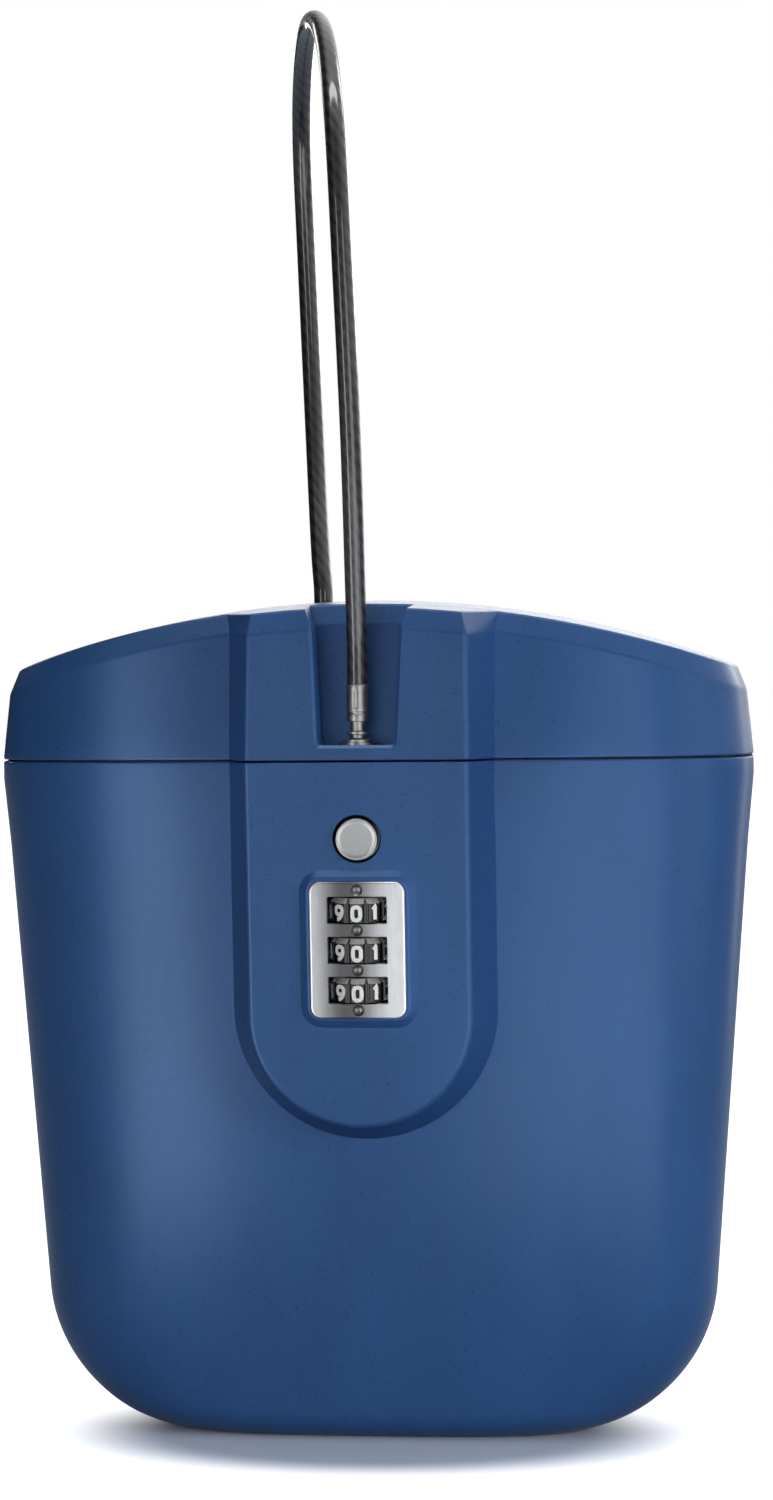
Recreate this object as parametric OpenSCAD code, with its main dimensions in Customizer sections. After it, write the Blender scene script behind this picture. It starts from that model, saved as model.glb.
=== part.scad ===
// Portable beach safe: a moulded bucket with a hinged, arched lid, a raised front panel
// that carries a three-dial combination lock, and a cable loop anchored in the lid.
// Millimetres. +Z is up, the front faces -Y, the origin is the middle of the flat base.

/* [Body] */
// Width across the parting line
body_w = 168; // [156:1:180]
// Depth across the parting line, without the raised panel
body_d = 77; // [74:1:84]
// Height of the parting line above the base
body_h = 149.5; // [142:0.5:160]
// Wall thickness of the body and the lid
wall = 3; // [2.6:0.1:3.6]
// Thickness of the floor
floor_t = 3.5; // [2.5:0.1:5]
// Taper of the body on each side, in degrees
draft = 4.25; // [3.5:0.25:5]
// Radius of the two bottom corners, seen from the front
corner_r = 31; // [26:1:38]
// Rounding round the rest of the base
base_r = 6; // [4.5:0.5:9]
// Squareness of the plan outline, where 2 is an ellipse
plan_n = 3.6; // [2.6:0.1:4]

/* [Lid] */
// Height of the top of the arch above the base
top_h = 184.5; // [180:0.5:192]
// Fall of the arch from the middle to the ends, as a share of the lid's height
arch_share = 0.475; // [0.4:0.005:0.5]
// Fall of the top from the middle to the front and the back
crown = 1.4; // [1:0.1:2.4]
// Inward lean of the lid's walls, in degrees
lid_lean = 5.8; // [4:0.1:6.5]
// Height of the bevel round the top edge
bevel_h = 4.4; // [3:0.1:5.5]
// Inset of the bevel round the top edge
bevel_in = 1.55; // [1:0.05:2]
// Gap between the body and the lid
parting_gap = 0.6; // [0.4:0.1:0.8]
// Thickness of the inner cover
liner_t = 2; // [1.6:0.1:2.6]
// Depth of the locating lip below the inner cover
lip_h = 5; // [3:0.5:7]

/* [Raised panel] */
// How far the panel stands out of the body
panel_out = 11; // [9.5:0.5:12]
// Half width of the panel's face, and radius of its lower end
panel_r = 24; // [23.2:0.1:25]
// Height of the middle of the panel's round lower end above the base
panel_low = 94.8; // [89:0.2:96]
// Slant of the panel's side walls, in degrees
panel_slant = 23; // [18:1:26]
// Lean of the panel's face on the lid, in degrees
panel_lean = 3.5; // [2.5:0.25:4.5]
// Wall thickness of the panel's face
panel_wall = 2.5; // [2.2:0.1:2.8]
// Width of the cable channel at its floor
channel_w = 16.4; // [15:0.1:19]
// Outward slant of the channel's side walls, in degrees
channel_slant = 2.75; // [2:0.25:4]
// Height of the channel's floor above the parting line
channel_z = 3.4; // [3.2:0.1:4.5]

/* [Lock] */
// Width of the face plate
plate_w = 20.6; // [20:0.1:21.6]
// Height of the face plate
plate_h = 29.4; // [28.8:0.1:30.5]
// Thickness of the face plate
plate_t = 1; // [0.8:0.1:1.2]
// Corner radius of the face plate
plate_r = 2.4; // [1.5:0.1:3.5]
// Height of the pad under the face plate
pad_t = 1.2; // [1:0.1:1.4]
// Border of the pad round the face plate
pad_border = 2.3; // [1.6:0.1:2.6]
// Width of a window
window_w = 12.4; // [11.8:0.1:12.6]
// Height of a window
window_h = 5.5; // [5.4:0.1:5.8]
// Distance from one dial to the next
dial_pitch = 8.6; // [8.4:0.05:8.7]
// Radius of a dial wheel
dial_r = 6.5; // [6.2:0.05:6.6]
// Height of a dial wheel
dial_h = 5.2; // [4.9:0.1:5.3]
// How far a wheel stands out of its window
dial_out = 1.2; // [0.9:0.1:1.3]
// Width of the cone on a wheel's upper edge
dial_cone = 1.15; // [0.8:0.05:1.2]
// Radius of the sleeve in a wheel
sleeve_r = 3.6; // [3.2:0.1:4]
// Radius of the sleeve's neck between two wheels
neck_r = 2.1; // [1.9:0.05:2.2]
// Radius of the spindle
spindle_r = 1.1; // [1:0.05:1.25]
// Middle of the dials above the base, along the panel
dials_low = 40.2; // [39.6:0.1:41.4]

/* [Button] */
// Radius of the button
button_r = 4.45; // [4.2:0.05:4.7]
// Gap round the button
button_gap = 0.75; // [0.5:0.05:0.9]
// How far the button stands out of the panel
button_out = 1; // [0.6:0.1:1.4]
// Travel of the button
button_travel = 1.2; // [1:0.05:1.2]
// Distance of the button below the parting line, along the panel
button_low = 16.6; // [16:0.05:17]
// Radius of the button's flange
flange_r = 6; // [5.8:0.1:6.2]
// Wire of the coil springs
wire_d = 0.6; // [0.5:0.05:0.7]

/* [Hinge] */
// Radius of the hinge pin
pin_r = 1.5; // [1.3:0.05:1.8]
// Radius of the knuckles
knuckle_r = 3.6; // [3.4:0.1:3.9]
// Half length of the hinge
hinge_half = 37; // [34:1:40]
// Half length of the lid's knuckle
lid_knuckle = 20; // [16:1:24]

/* [Cable] */
// Diameter of the coated cable
cable_d = 4.4; // [4:0.1:4.6]
// Diameter of the crimped ferrule
ferrule_d = 4.7; // [4.6:0.1:5]
// Length of the crimped ferrule
ferrule_l = 8; // [7.5:0.5:8.5]
// Radius of the peg's shank
peg_r = 2; // [1.8:0.05:2.1]

/* [Hidden] */

blue = "#4a6188";
steel = "#c3c6ca";
black = "#1c1d20";
grey = "#3c3f45";

N = 72;          // points round the plan outline
fit = 0.05;      // running fit, on the radius
soft = 0.3;      // clearance beside a free face
eps = 0.01;

// Parting line, panel and hinge places
lid_h = top_h - body_h;
arch_fall = arch_share * lid_h;
arch_r = (arch_fall * arch_fall + body_w * body_w / 4) / (2 * arch_fall);
lid_z = body_h + parting_gap / 2;      // underside of the lid
rim_z = body_h - parting_gap / 2;      // top of the body's rim
panel_y = body_d / 2 + panel_out;      // the panel's face at the parting line, towards -Y
hinge_y = body_d / 2 + knuckle_r + 0.6;
panel_len = (body_h - panel_low) / cos(draft);   // from the parting line to the round end
housing_r = panel_r - panel_wall - soft;         // half width of the lock housing
housing_back = 12;                     // depth of the lock housing behind the panel's face

// Dials
dial_y = dial_r - dial_out - plate_t - pad_t;    // axis of the dials behind the panel's face
dial_zs = [-dials_low + dial_pitch, -dials_low, -dials_low - dial_pitch];
foot_h = 2.2;                          // neck below the bottom dial
bay_z0 = -dials_low - dial_pitch - dial_h / 2 - foot_h - fit;    // dial opening, along the panel
bay_z1 = -dials_low + dial_pitch + dial_h / 2 + 1.4;
bay_x0 = -dial_r - 0.9;                // the opening's left side, beside the dials
bay_w = 2 * dial_r + 3.8;              // and its width, as far as the comb's spine

// Peg and cable; the cable's points are chosen by hand, from its front foot and from its rear foot
floor_z = body_h + channel_z;          // floor of the cable channel
peg_xy = [0, -panel_y + 5.5];
stop_xy = [-16, body_d / 2 - 10.5];
cable_start = floor_z + 13;
cable_end = top_h - 8.5;
cable_front = [
    [0, 0, 0], [0, -0.5, 9], [0, -3, 22], [0, -9, 52], [-1, -12, 86],
    [-3, -8, 120], [-7, 9, 139.5], [-13, 35, 147.5]];
cable_back = [
    [-2, -12, 132.5], [-5, 7, 118], [-5, 14, 92], [-3, 11, 48], [-1, 3, 22],
    [0, 0, 12], [0, 0, 6], [0, 0, 0]];
cable_route = concat(
    [for (p = cable_front) p + [peg_xy[0], peg_xy[1], cable_start]],
    [for (p = cable_back) p + [stop_xy[0], stop_xy[1], cable_end]]);
stop_h = 0.23 * lid_h;                 // length of the crimped stop inside the lid
lid_screw_h = 0.26 * lid_h;            // length of the lid's screws in their bosses
latch_z = 7;                           // the latch below the parting line, along the panel
latch_t = 1.5;
latch_travel = 2.6;

// ---------- outlines and sweeps ----------

// half width and half depth of the body at height z, and of the lid above the parting line
function taper(z) = (z < body_h ? (body_h - z) * tan(draft) : (z - body_h) * tan(lid_lean));
function half_w(z) = body_w / 2 - taper(z);
function half_d(z) = body_d / 2 - taper(z);
// inset of a rounded bottom corner of radius r at height z above it
function round_in(r, z) = z >= r ? 0 : r - sqrt(r * r - (r - z) * (r - z));
function top_z(x, y) = top_h - arch_r + sqrt(arch_r * arch_r - x * x) - crown * pow(y / 36, 2);

function power(v, p) = sign(v) * pow(abs(v), p);
function oval_point(a, b, t) = [a * power(cos(t), 2 / plan_n), b * power(sin(t), 2 / plan_n)];
function oval(a, b) = [for (i = [0:N - 1]) oval_point(a, b, 360 * i / N)];
// depth of the oval of half sizes a and b at x
function oval_y(a, b, x) = b * pow(max(0, 1 - pow(abs(x) / a, plan_n)), 1 / plan_n);
function ring(a, b, z) = [for (p = oval(a, b)) [p[0], p[1], z]];

// faces of a closed stack of rings, each of n points
function stack_faces(n, rows) = concat(
    [[for (i = [0:n - 1]) i]],
    [for (k = [0:rows - 2]) for (i = [0:n - 1])
        [k * n + i, (k + 1) * n + i, (k + 1) * n + (i + 1) % n]],
    [for (k = [0:rows - 2]) for (i = [0:n - 1])
        [k * n + i, (k + 1) * n + (i + 1) % n, k * n + (i + 1) % n]],
    [[for (i = [n - 1:-1:0]) (rows - 1) * n + i]]);
function flat(rows) = [for (r = rows) for (p = r) p];

module stack(rings) {
    polyhedron(points = flat(rings), faces = stack_faces(len(rings[0]), len(rings)));
}

// hull of a cloud of points
module cloud(points) {
    hull() polyhedron(points = points, faces = [[for (i = [0:len(points) - 1]) i]]);
}

// unit vector and cross product helpers for tubes
function unit(v) = v / norm(v);
function spline(p, i, t) =
    let (a = p[max(i - 1, 0)], b = p[i], c = p[i + 1], d = p[min(i + 2, len(p) - 1)])
    0.5 * ((2 * b) + (c - a) * t + (2 * a - 5 * b + 4 * c - d) * t * t
        + (3 * b - a - 3 * c + d) * t * t * t);
function smooth(p, steps) = concat(
    [for (i = [0:len(p) - 2]) for (j = [0:steps - 1]) spline(p, i, j / steps)],
    [p[len(p) - 1]]);

// tube of radius r along a path, its first and last rings square to dir_a and dir_b
module tube(path, r, sides, dir_a, dir_b, side) {
    last = len(path) - 1;
    rings = [for (i = [0:last])
        let (d = i == 0 ? dir_a : i == last ? dir_b : unit(path[i + 1] - path[i - 1]),
             u = unit(cross(side, d)), v = cross(d, u))
        [for (k = [0:sides - 1]) path[i] + r * (cos(360 * k / sides) * u + sin(360 * k / sides) * v)]];
    stack(rings);
}

// coil spring of turns round Z, from z = 0 to length, centred on its wire's path radius
module coil(r, length, turns, wire) {
    per = 12;
    path = [for (i = [0:turns * per])
        [r * cos(360 * i / per), r * sin(360 * i / per), wire / 2 + (length - wire) * i / (turns * per)]];
    last = len(path) - 1;
    rings = [for (i = [0:last])
        let (u = [cos(360 * i / per), sin(360 * i / per), 0])
        [for (k = [0:5]) path[i] + wire / 2 * (cos(60 * k) * u + sin(60 * k) * [0, 0, 1])]];
    stack([for (i = [last:-1:0]) rings[i]]);
}

// ---------- frames ----------

// x to the right, y into the body and z up along the panel's face, from its middle at the parting line
module on_panel() {
    translate([0, -panel_y, body_h]) rotate([draft, 0, 0]) children();
}

// prism along the panel frame's y from y0 to y1, of a 2D shape drawn in x and z
module panel_prism(y0, y1) {
    translate([0, y1, 0]) rotate([90, 0, 0]) linear_extrude(height = y1 - y0) children();
}

// U outline of half width r, from the round end up to z1
module u_shape(r, z1) {
    translate([0, -panel_len]) circle(r = r, $fn = 64);
    translate([-r, -panel_len]) square([2 * r, panel_len + z1]);
}

module round_rect(w, h, r) {
    translate([-w / 2 + r, -h / 2]) square([w - 2 * r, h]);
    translate([-w / 2, -h / 2 + r]) square([w, h - 2 * r]);
    for (x = [-1, 1], z = [-1, 1])
        translate([x * (w / 2 - r), z * (h / 2 - r)]) circle(r = r, $fn = 32);
}

// places of the lock's four screws, in the panel frame
lock_screws = [
    [-housing_r + 4.2, -12], [housing_r - 4.2, -12],
    [-housing_r + 5.4, -panel_len - 5], [housing_r - 5.4, -panel_len - 5]];
boss_r = 3;
boss_top = panel_wall + 5;             // the lock's bosses behind the panel's face
// places of the lid's four screws, x and y
lid_screw_x = body_w / 2 - 26;
lid_screw_y = body_d / 2 - 24.5;
lid_screws = [for (y = [-1, 1]) for (x = [-1, 1]) [x * lid_screw_x, y * lid_screw_y]];
boss_z = lid_z + liner_t + 0.3;        // underside of the lid's bosses, where the liner seats

// ---------- body ----------

outer_zs = [0, 0.5, 1.6, 3.5, 6, 9.5, 14, 20, 26, 32, 60, 100];
inner_zs = [100, 60, 32, 26, 20, 15, 11, 8, 6, 4.6, 3.9];
inner_corner = corner_r - wall;
inner_base = max(base_r - wall, 2);

function inner_ring(z) = ring(
    half_w(z) - wall - round_in(inner_corner, z - floor_t),
    half_d(z) - wall - round_in(inner_base, z - floor_t), z);

module bucket_outer() {
    stack(concat(
        [for (z = outer_zs) ring(half_w(z) - round_in(corner_r, z), half_d(z) - round_in(base_r, z), z)],
        [ring(half_w(rim_z), half_d(rim_z), rim_z)]));
}

module bucket_inner() {
    stack(concat(
        [inner_ring(floor_t)],
        [for (i = [len(inner_zs) - 1:-1:0]) if (inner_zs[i] > floor_t + 0.3) inner_ring(inner_zs[i])],
        [ring(half_w(rim_z) - wall, half_d(rim_z) - wall, rim_z + 1)]));
}

// the raised panel as one slanted block, from its face to inside the wall
module panel_block() {
    deep = panel_out + wall - soft;
    hull() {
        panel_prism(0, eps) u_shape(panel_r, 5);
        panel_prism(deep - eps, deep) u_shape(panel_r + deep * tan(panel_slant), 5);
    }
}

module pad() {
    translate([0, 0, -dials_low]) hull() {
        panel_prism(-pad_t, -pad_t + eps)
            round_rect(plate_w + 1.2, plate_h + 1.2, plate_r + 0.6);
        panel_prism(0, 0.2)
            round_rect(plate_w + 2 * pad_border, plate_h + 2 * pad_border, plate_r + pad_border);
    }
}

// the ring of wall that carries the seal groove
rim_band = 8;
module rim_ring(inset_a, inset_b, z0, z1) {
    translate([0, 0, z0]) linear_extrude(height = z1 - z0) difference() {
        polygon(oval(body_w / 2 - inset_a, body_d / 2 - inset_a));
        polygon(oval(body_w / 2 - inset_b, body_d / 2 - inset_b));
    }
}

seal_in = [wall / 2 - 0.6, wall / 2 + 0.6];
seal_deep = 1.8;

// knuckle of the hinge, with a web of the given side view
web_h = 12;
module knuckle(length, web) {
    translate([0, hinge_y, body_h]) rotate([0, 90, 0]) cylinder(r = knuckle_r, h = length, $fn = 48);
    rotate([90, 0, 90]) linear_extrude(height = length) polygon(web);
}

module body_shell() {
    color(blue) difference() {
        union() {
            bucket_outer();
            intersection() {
                on_panel() {
                    panel_block();
                    pad();
                }
                translate([-body_w / 2, -panel_y - 10, 0]) cube([body_w, panel_y + 10, rim_z]);
            }
            // knuckles at the back, each on a web that runs down into the wall
            for (x = [-hinge_half, lid_knuckle + soft]) translate([x, 0, 0])
                knuckle(hinge_half - lid_knuckle - soft, [
                    [body_d / 2 - wall - 2, rim_z], [hinge_y, rim_z],
                    [hinge_y + 0.6 * knuckle_r, body_h - 0.78 * knuckle_r],
                    [body_d / 2 - 1, body_h - web_h], [body_d / 2 - wall - 2, body_h - web_h]]);
        }
        bucket_inner();
        // hollow behind the panel, open to the inside below the rim band, round the lock's bosses
        difference() {
            on_panel() panel_prism(panel_wall, 24) u_shape(panel_r - panel_wall, 5);
            rim_ring(0, wall + 2, rim_z - rim_band, rim_z + 10);
            on_panel() for (p = lock_screws) translate([p[0], 0, p[1]]) rotate([-90, 0, 0])
                cylinder(r = boss_r, h = boss_top, $fn = 32);
        }
        on_panel() for (p = lock_screws) translate([p[0], 1.2, p[1]]) rotate([-90, 0, 0])
            cylinder(r = 1.25, h = 20, $fn = 32);
        rim_ring(seal_in[0] - 0.1, seal_in[1] + 0.1, rim_z - seal_deep, rim_z + 1);
        on_panel() {
            translate([0, -2, -button_low]) rotate([-90, 0, 0])
                cylinder(r = button_r + button_gap, h = panel_wall + 4, $fn = 48);
            translate([bay_x0, -pad_t - 1, bay_z0]) cube([bay_w, panel_wall + pad_t + 2, bay_z1 - bay_z0]);
            translate([0, dial_y, bay_z0 - 2.8])
                cylinder(r = spindle_r + soft, h = bay_z1 - bay_z0 + 5.6, $fn = 32);
        }
        translate([-hinge_half - 1, hinge_y, body_h]) rotate([0, 90, 0])
            cylinder(r = pin_r + fit, h = 2 * hinge_half + 2, $fn = 48);
    }
}

module rim_seal() {
    color(black) rim_ring(seal_in[0], seal_in[1], rim_z - seal_deep, lid_z - soft);
}

// ---------- lock ----------

module lock_housing() {
    color(grey) difference() {
        on_panel() panel_prism(panel_wall + soft, housing_back) u_shape(housing_r, 5);
        // under the rim and the rim band
        translate([-body_w / 2, -panel_y - 5, rim_z - 0.4]) cube([body_w, body_d, 20]);
        rim_ring(-soft, 20, rim_z - rim_band - soft, rim_z + 10);
        // the lid's peg
        translate([peg_xy[0], peg_xy[1], rim_z - 10.2]) cylinder(r = peg_r + 0.7, h = 20, $fn = 48);
        on_panel() {
            // dial bay, open to the front
            translate([bay_x0, 0, bay_z0]) cube([bay_w, housing_back - 1.3, bay_z1 - bay_z0]);
            // button and its stem
            translate([0, 0, -button_low]) rotate([-90, 0, 0]) {
                cylinder(r = flange_r + 0.4, h = 8, $fn = 48);
                cylinder(r = 2.4, h = 30, $fn = 48);
            }
            // room for the arm between the button and the comb
            translate([3.6, 0, bay_z1 - 1]) cube([bay_w + bay_x0 - 3.6, 7, 12]);
            // latch and its spring
            translate([-9, 0, -latch_z - soft]) cube([18.6, 9, latch_t + 2 * soft]);
            // spindle
            translate([0, dial_y, bay_z0 - 2.5]) cylinder(r = spindle_r + fit, h = bay_z1 - bay_z0 + 5, $fn = 32);
            // screws and the body's bosses
            for (p = lock_screws) translate([p[0], 0, p[1]]) rotate([-90, 0, 0]) {
                cylinder(r = 1.3, h = 40, $fn = 32);
                cylinder(r = boss_r + soft, h = boss_top + 0.1, $fn = 32);
            }
        }
    }
}

module lock_cover() {
    color(blue) on_panel() difference() {
        panel_prism(housing_back + 0.02, housing_back + 2)
            difference() {
                u_shape(housing_r, -rim_band - 4);
                for (p = lock_screws) translate(p) circle(r = 1.3, $fn = 32);
            }
        for (p = lock_screws) translate([p[0], housing_back + 0.8, p[1]]) rotate([-90, 0, 0])
            cylinder(r = 2.5, h = 5, $fn = 32);
    }
}

module lock_screw(i) {
    color(steel) on_panel() translate([lock_screws[i][0], 0, lock_screws[i][1]]) rotate([-90, 0, 0]) {
        difference() {
            translate([0, 0, housing_back + 0.8]) cylinder(r = 2.3, h = 1.1, $fn = 32);
            for (a = [0, 90]) rotate([0, 0, a])
                translate([-1.3, -0.25, housing_back + 1.4]) cube([2.6, 0.5, 2]);
        }
        translate([0, 0, 1.4]) cylinder(r = 1.2, h = housing_back - 0.5, $fn = 32);
    }
}
module lock_screw_1() lock_screw(0);
module lock_screw_2() lock_screw(1);
module lock_screw_3() lock_screw(2);
module lock_screw_4() lock_screw(3);

module face_plate() {
    color(steel) on_panel() translate([0, -pad_t - plate_t, -dials_low]) difference() {
        panel_prism(0, plate_t) difference() {
            round_rect(plate_w, plate_h, plate_r);
            for (k = [-1:1]) translate([-window_w / 2, k * dial_pitch - window_h / 2])
                square([window_w, window_h]);
        }
        // index dimples above, between and below the windows
        for (k = [-1.5:1:1.5]) translate([0, -0.9, k * dial_pitch]) sphere(r = 1.55, $fn = 32);
    }
}

module spindle() {
    color(steel) on_panel() translate([0, dial_y, bay_z0 - 2.4])
        cylinder(r = spindle_r, h = bay_z1 - bay_z0 + 4.8, $fn = 32);
}

module detent_spring() {
    back = dial_y + dial_r + 0.5;
    color(steel) on_panel() translate([-3, 0, 0]) {
        translate([0, back, bay_z0 + 0.2]) cube([6, 0.4, bay_z1 - bay_z0 - 0.4]);
        for (z = dial_zs) translate([2, back - 0.3, z - 1.5]) cube([2, 0.35, 3]);
    }
}

module hinge_pin() {
    color(steel) translate([-hinge_half, hinge_y, body_h]) rotate([0, 90, 0])
        cylinder(r = pin_r, h = 2 * hinge_half, $fn = 48);
}

// ---------- dials ----------

// wheel with ten finger notches on its lower edge and a cone on its upper edge
module dial_wheel(i) {
    color(black) on_panel() translate([0, dial_y, dial_zs[i] - dial_h / 2]) difference() {
        rotate_extrude($fn = 60) polygon([
            [sleeve_r, 0], [dial_r - 0.3, 0], [dial_r, 0.3],
            [dial_r, dial_h - dial_cone], [dial_r - dial_cone, dial_h], [sleeve_r, dial_h]]);
        for (k = [0:9]) rotate([0, 0, 36 * k + 18]) translate([dial_r + 0.35, 0, -1])
            cylinder(r = 0.8, h = dial_h + 2, $fn = 16);
    }
}

// sleeve on the spindle, its neck below the wheel, with the gate that the comb's tooth meets
module dial_sleeve(i) {
    neck_h = i == 2 ? foot_h : dial_pitch - dial_h - 2 * fit;
    color(steel) on_panel() translate([0, dial_y, dial_zs[i] - dial_h / 2]) difference() {
        union() {
            cylinder(r = sleeve_r - fit, h = dial_h, $fn = 48);
            translate([0, 0, -neck_h]) cylinder(r = neck_r, h = neck_h + 1, $fn = 48);
        }
        translate([0, 0, -dial_pitch]) cylinder(r = spindle_r + fit, h = 2 * dial_pitch, $fn = 32);
        translate([-0.6, -neck_r - 1, -neck_h - 1]) cube([1.2, 1.5, neck_h + 0.9]);
    }
}
module dial_wheel_top() dial_wheel(0);
module dial_wheel_middle() dial_wheel(1);
module dial_wheel_bottom() dial_wheel(2);
module dial_sleeve_top() dial_sleeve(0);
module dial_sleeve_middle() dial_sleeve(1);
module dial_sleeve_bottom() dial_sleeve(2);

// ---------- button ----------

module button() {
    color(steel) on_panel() translate([0, 0, -button_low]) rotate([-90, 0, 0]) rotate_extrude($fn = 64)
        polygon([
            [0, -button_out + 0.15], [button_r - 1.1, -button_out + 0.15], [button_r - 0.8, -button_out],
            [button_r - 0.3, -button_out], [button_r, -button_out + 0.3], [button_r, panel_wall + soft],
            [flange_r, panel_wall + soft], [flange_r, panel_wall + soft + 1.2],
            [1.9, panel_wall + soft + 1.2], [1.9, housing_back - 1.4], [0, housing_back - 1.4]]);
}

module fence_comb() {
    comb_y = -pad_t + 0.15;
    arm_y = panel_wall + soft + 1.2;
    low = bay_z0 + 0.3;
    high = bay_z1 - 0.3;
    spine_x = dial_r + 0.5;
    color(steel) on_panel() {
        // spine beside the wheels, its teeth in the gaps in front of the sleeves
        translate([spine_x, comb_y, low]) cube([2, 0.6, high - low]);
        for (z = dial_zs) translate([-1, comb_y, z - dial_h / 2 - 1.5]) cube([spine_x + 2, 0.6, 1]);
        // bend back to the arm behind the panel, and the arm up to the button's flange
        translate([spine_x, comb_y, high - 1.2]) cube([2, arm_y + 1 - comb_y, 1.2]);
        translate([spine_x, arm_y, high - 1.2]) cube([2, 1, 1.2 - high - button_low]);
        translate([3.9, arm_y, -button_low - 4]) cube([spine_x - 1.9, 1, 4]);
    }
}

module button_spring() {
    y0 = panel_wall + soft + 1.2 + 0.05;
    color(steel) on_panel() translate([0, y0, -button_low]) rotate([-90, 0, 0])
        coil(3.2, 8 - y0 - 0.05, 3, wire_d);
}

// ---------- latch ----------

latch_len = 13;
module latch_slide() {
    color(steel) difference() {
        on_panel() translate([-8.6, panel_wall + soft + 0.2, -latch_z]) cube([latch_len, 5.7, latch_t]);
        // keyhole: round at rest, and a slot that the peg's neck fits after the travel
        translate([peg_xy[0], peg_xy[1], body_h - 20]) cylinder(r = peg_r + 0.5, h = 20, $fn = 48);
        translate([peg_xy[0] - latch_travel - 1.6, peg_xy[1] - 1.4, body_h - 20]) cube([latch_travel + 1.6, 2.8, 20]);
    }
}

module latch_spring() {
    x0 = latch_len - 8.6;
    color(steel) on_panel() translate([x0 + 0.05, panel_wall + soft + 3.1, -latch_z + latch_t / 2])
        rotate([0, 90, 0]) coil(0.65, 5, 5, 0.4);
}

// ---------- lid ----------

function lid_ring(inset) = [for (i = [0:N - 1])
    let (t = 360 * i / N, p = oval_point(half_w(lid_z) - inset, half_d(lid_z) - inset, t)) [p[0], p[1], lid_z]];
// ring of the lid's wall below the top surface by drop, moved in by inset
function lid_edge(inset, drop) = [for (i = [0:N - 1])
    let (t = 360 * i / N,
         q = oval_point(half_w(body_h + 20) - inset, half_d(body_h + 25) - inset, t),
         z0 = top_z(q[0], q[1]) - drop,
         p = oval_point(half_w(z0) - inset, half_d(z0) - inset, t))
    [p[0], p[1], top_z(p[0], p[1]) - drop]];
function crown_ring(share, drop, count) = [for (i = [0:count - 1])
    let (p = oval_point((half_w(body_h + 20) - 6) * (share > 0.7 ? 1 : 0.99), half_d(body_h + 25) * share, 360 * i / count))
    [p[0], p[1], top_z(p[0], p[1]) - drop]];

module lid_outer() {
    cloud(concat(lid_ring(0), lid_edge(0, bevel_h), lid_edge(bevel_in, 0),
        crown_ring(0.66, 0, 48), crown_ring(0.33, 0, 48), crown_ring(0.01, 0, 48)));
}

module lid_inner() {
    translate([0, 0, -eps]) cloud(concat(
        [for (p = lid_ring(wall)) [p[0], p[1], p[2] - 0.1]], lid_edge(wall, bevel_h + 2),
        lid_edge(wall + bevel_in, wall), crown_ring(0.5, wall, 48)));
}

// place of the panel's face at height z, towards -Y, with the bevel's inset near the top
function face_y(z) = panel_y - (z - body_h) * tan(panel_lean);
function panel_half(z) = panel_r - (z - body_h) * tan(panel_lean) * 0.25;
// x places across the panel's face
panel_xs = [for (k = [-4:4]) k / 4];
function panel_row(y_in, x_in, drop, back) = [for (k = panel_xs)
    let (x0 = k * (panel_r - x_in), z = top_z(x0, face_y(top_h - 8)) - drop,
         y = face_y(z) - y_in, w = panel_half(z) + back * tan(panel_slant) - x_in)
    [k * w, -y + back, top_z(k * w, y) - drop]];

module lid_panel() {
    deep = panel_out + wall - soft;
    cloud(concat(
        [for (k = [-1, 1]) [k * panel_r, -face_y(lid_z), lid_z]],
        [for (k = [-1, 1]) [k * (panel_r + deep * tan(panel_slant)), -face_y(lid_z) + deep, lid_z]],
        panel_row(0, 0, bevel_h, 0), panel_row(0, 0, bevel_h, deep),
        panel_row(bevel_in, bevel_in, 0, 0), panel_row(bevel_in, bevel_in, 0, deep)));
}

// front view of the cable channel, grown by g
channel_edge = top_h - crown * pow(panel_y / 36, 2) - bevel_h;
module channel(g) {
    up = channel_edge - floor_z;
    w0 = channel_w / 2 + g;
    w1 = w0 + up * tan(channel_slant);
    translate([0, -panel_y + 30, 0]) rotate([90, 0, 0]) linear_extrude(height = 40)
        polygon([[-w0, floor_z - g], [w0, floor_z - g], [w1, channel_edge],
            [w1 + bevel_in * 1.6, channel_edge + bevel_h * 1.6], [-w1 - bevel_in * 1.6, channel_edge + bevel_h * 1.6],
            [-w1, channel_edge]]);
}

// hollow in each half of the panel beside the channel, open below
module panel_hollow(s) {
    x0 = channel_w / 2 + 2.4 + (channel_edge - floor_z) * tan(channel_slant);
    x1 = panel_r - 2.4;
    z1 = top_z(panel_r, panel_y) - bevel_h - 1;
    cloud([for (z = [lid_z - 1, z1]) for (x = [x0, x1]) for (y = [0, 1])
        [s * x, y > 0 ? -half_d(z) - 1 : -face_y(z) + panel_wall, z]]);
}

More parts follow.
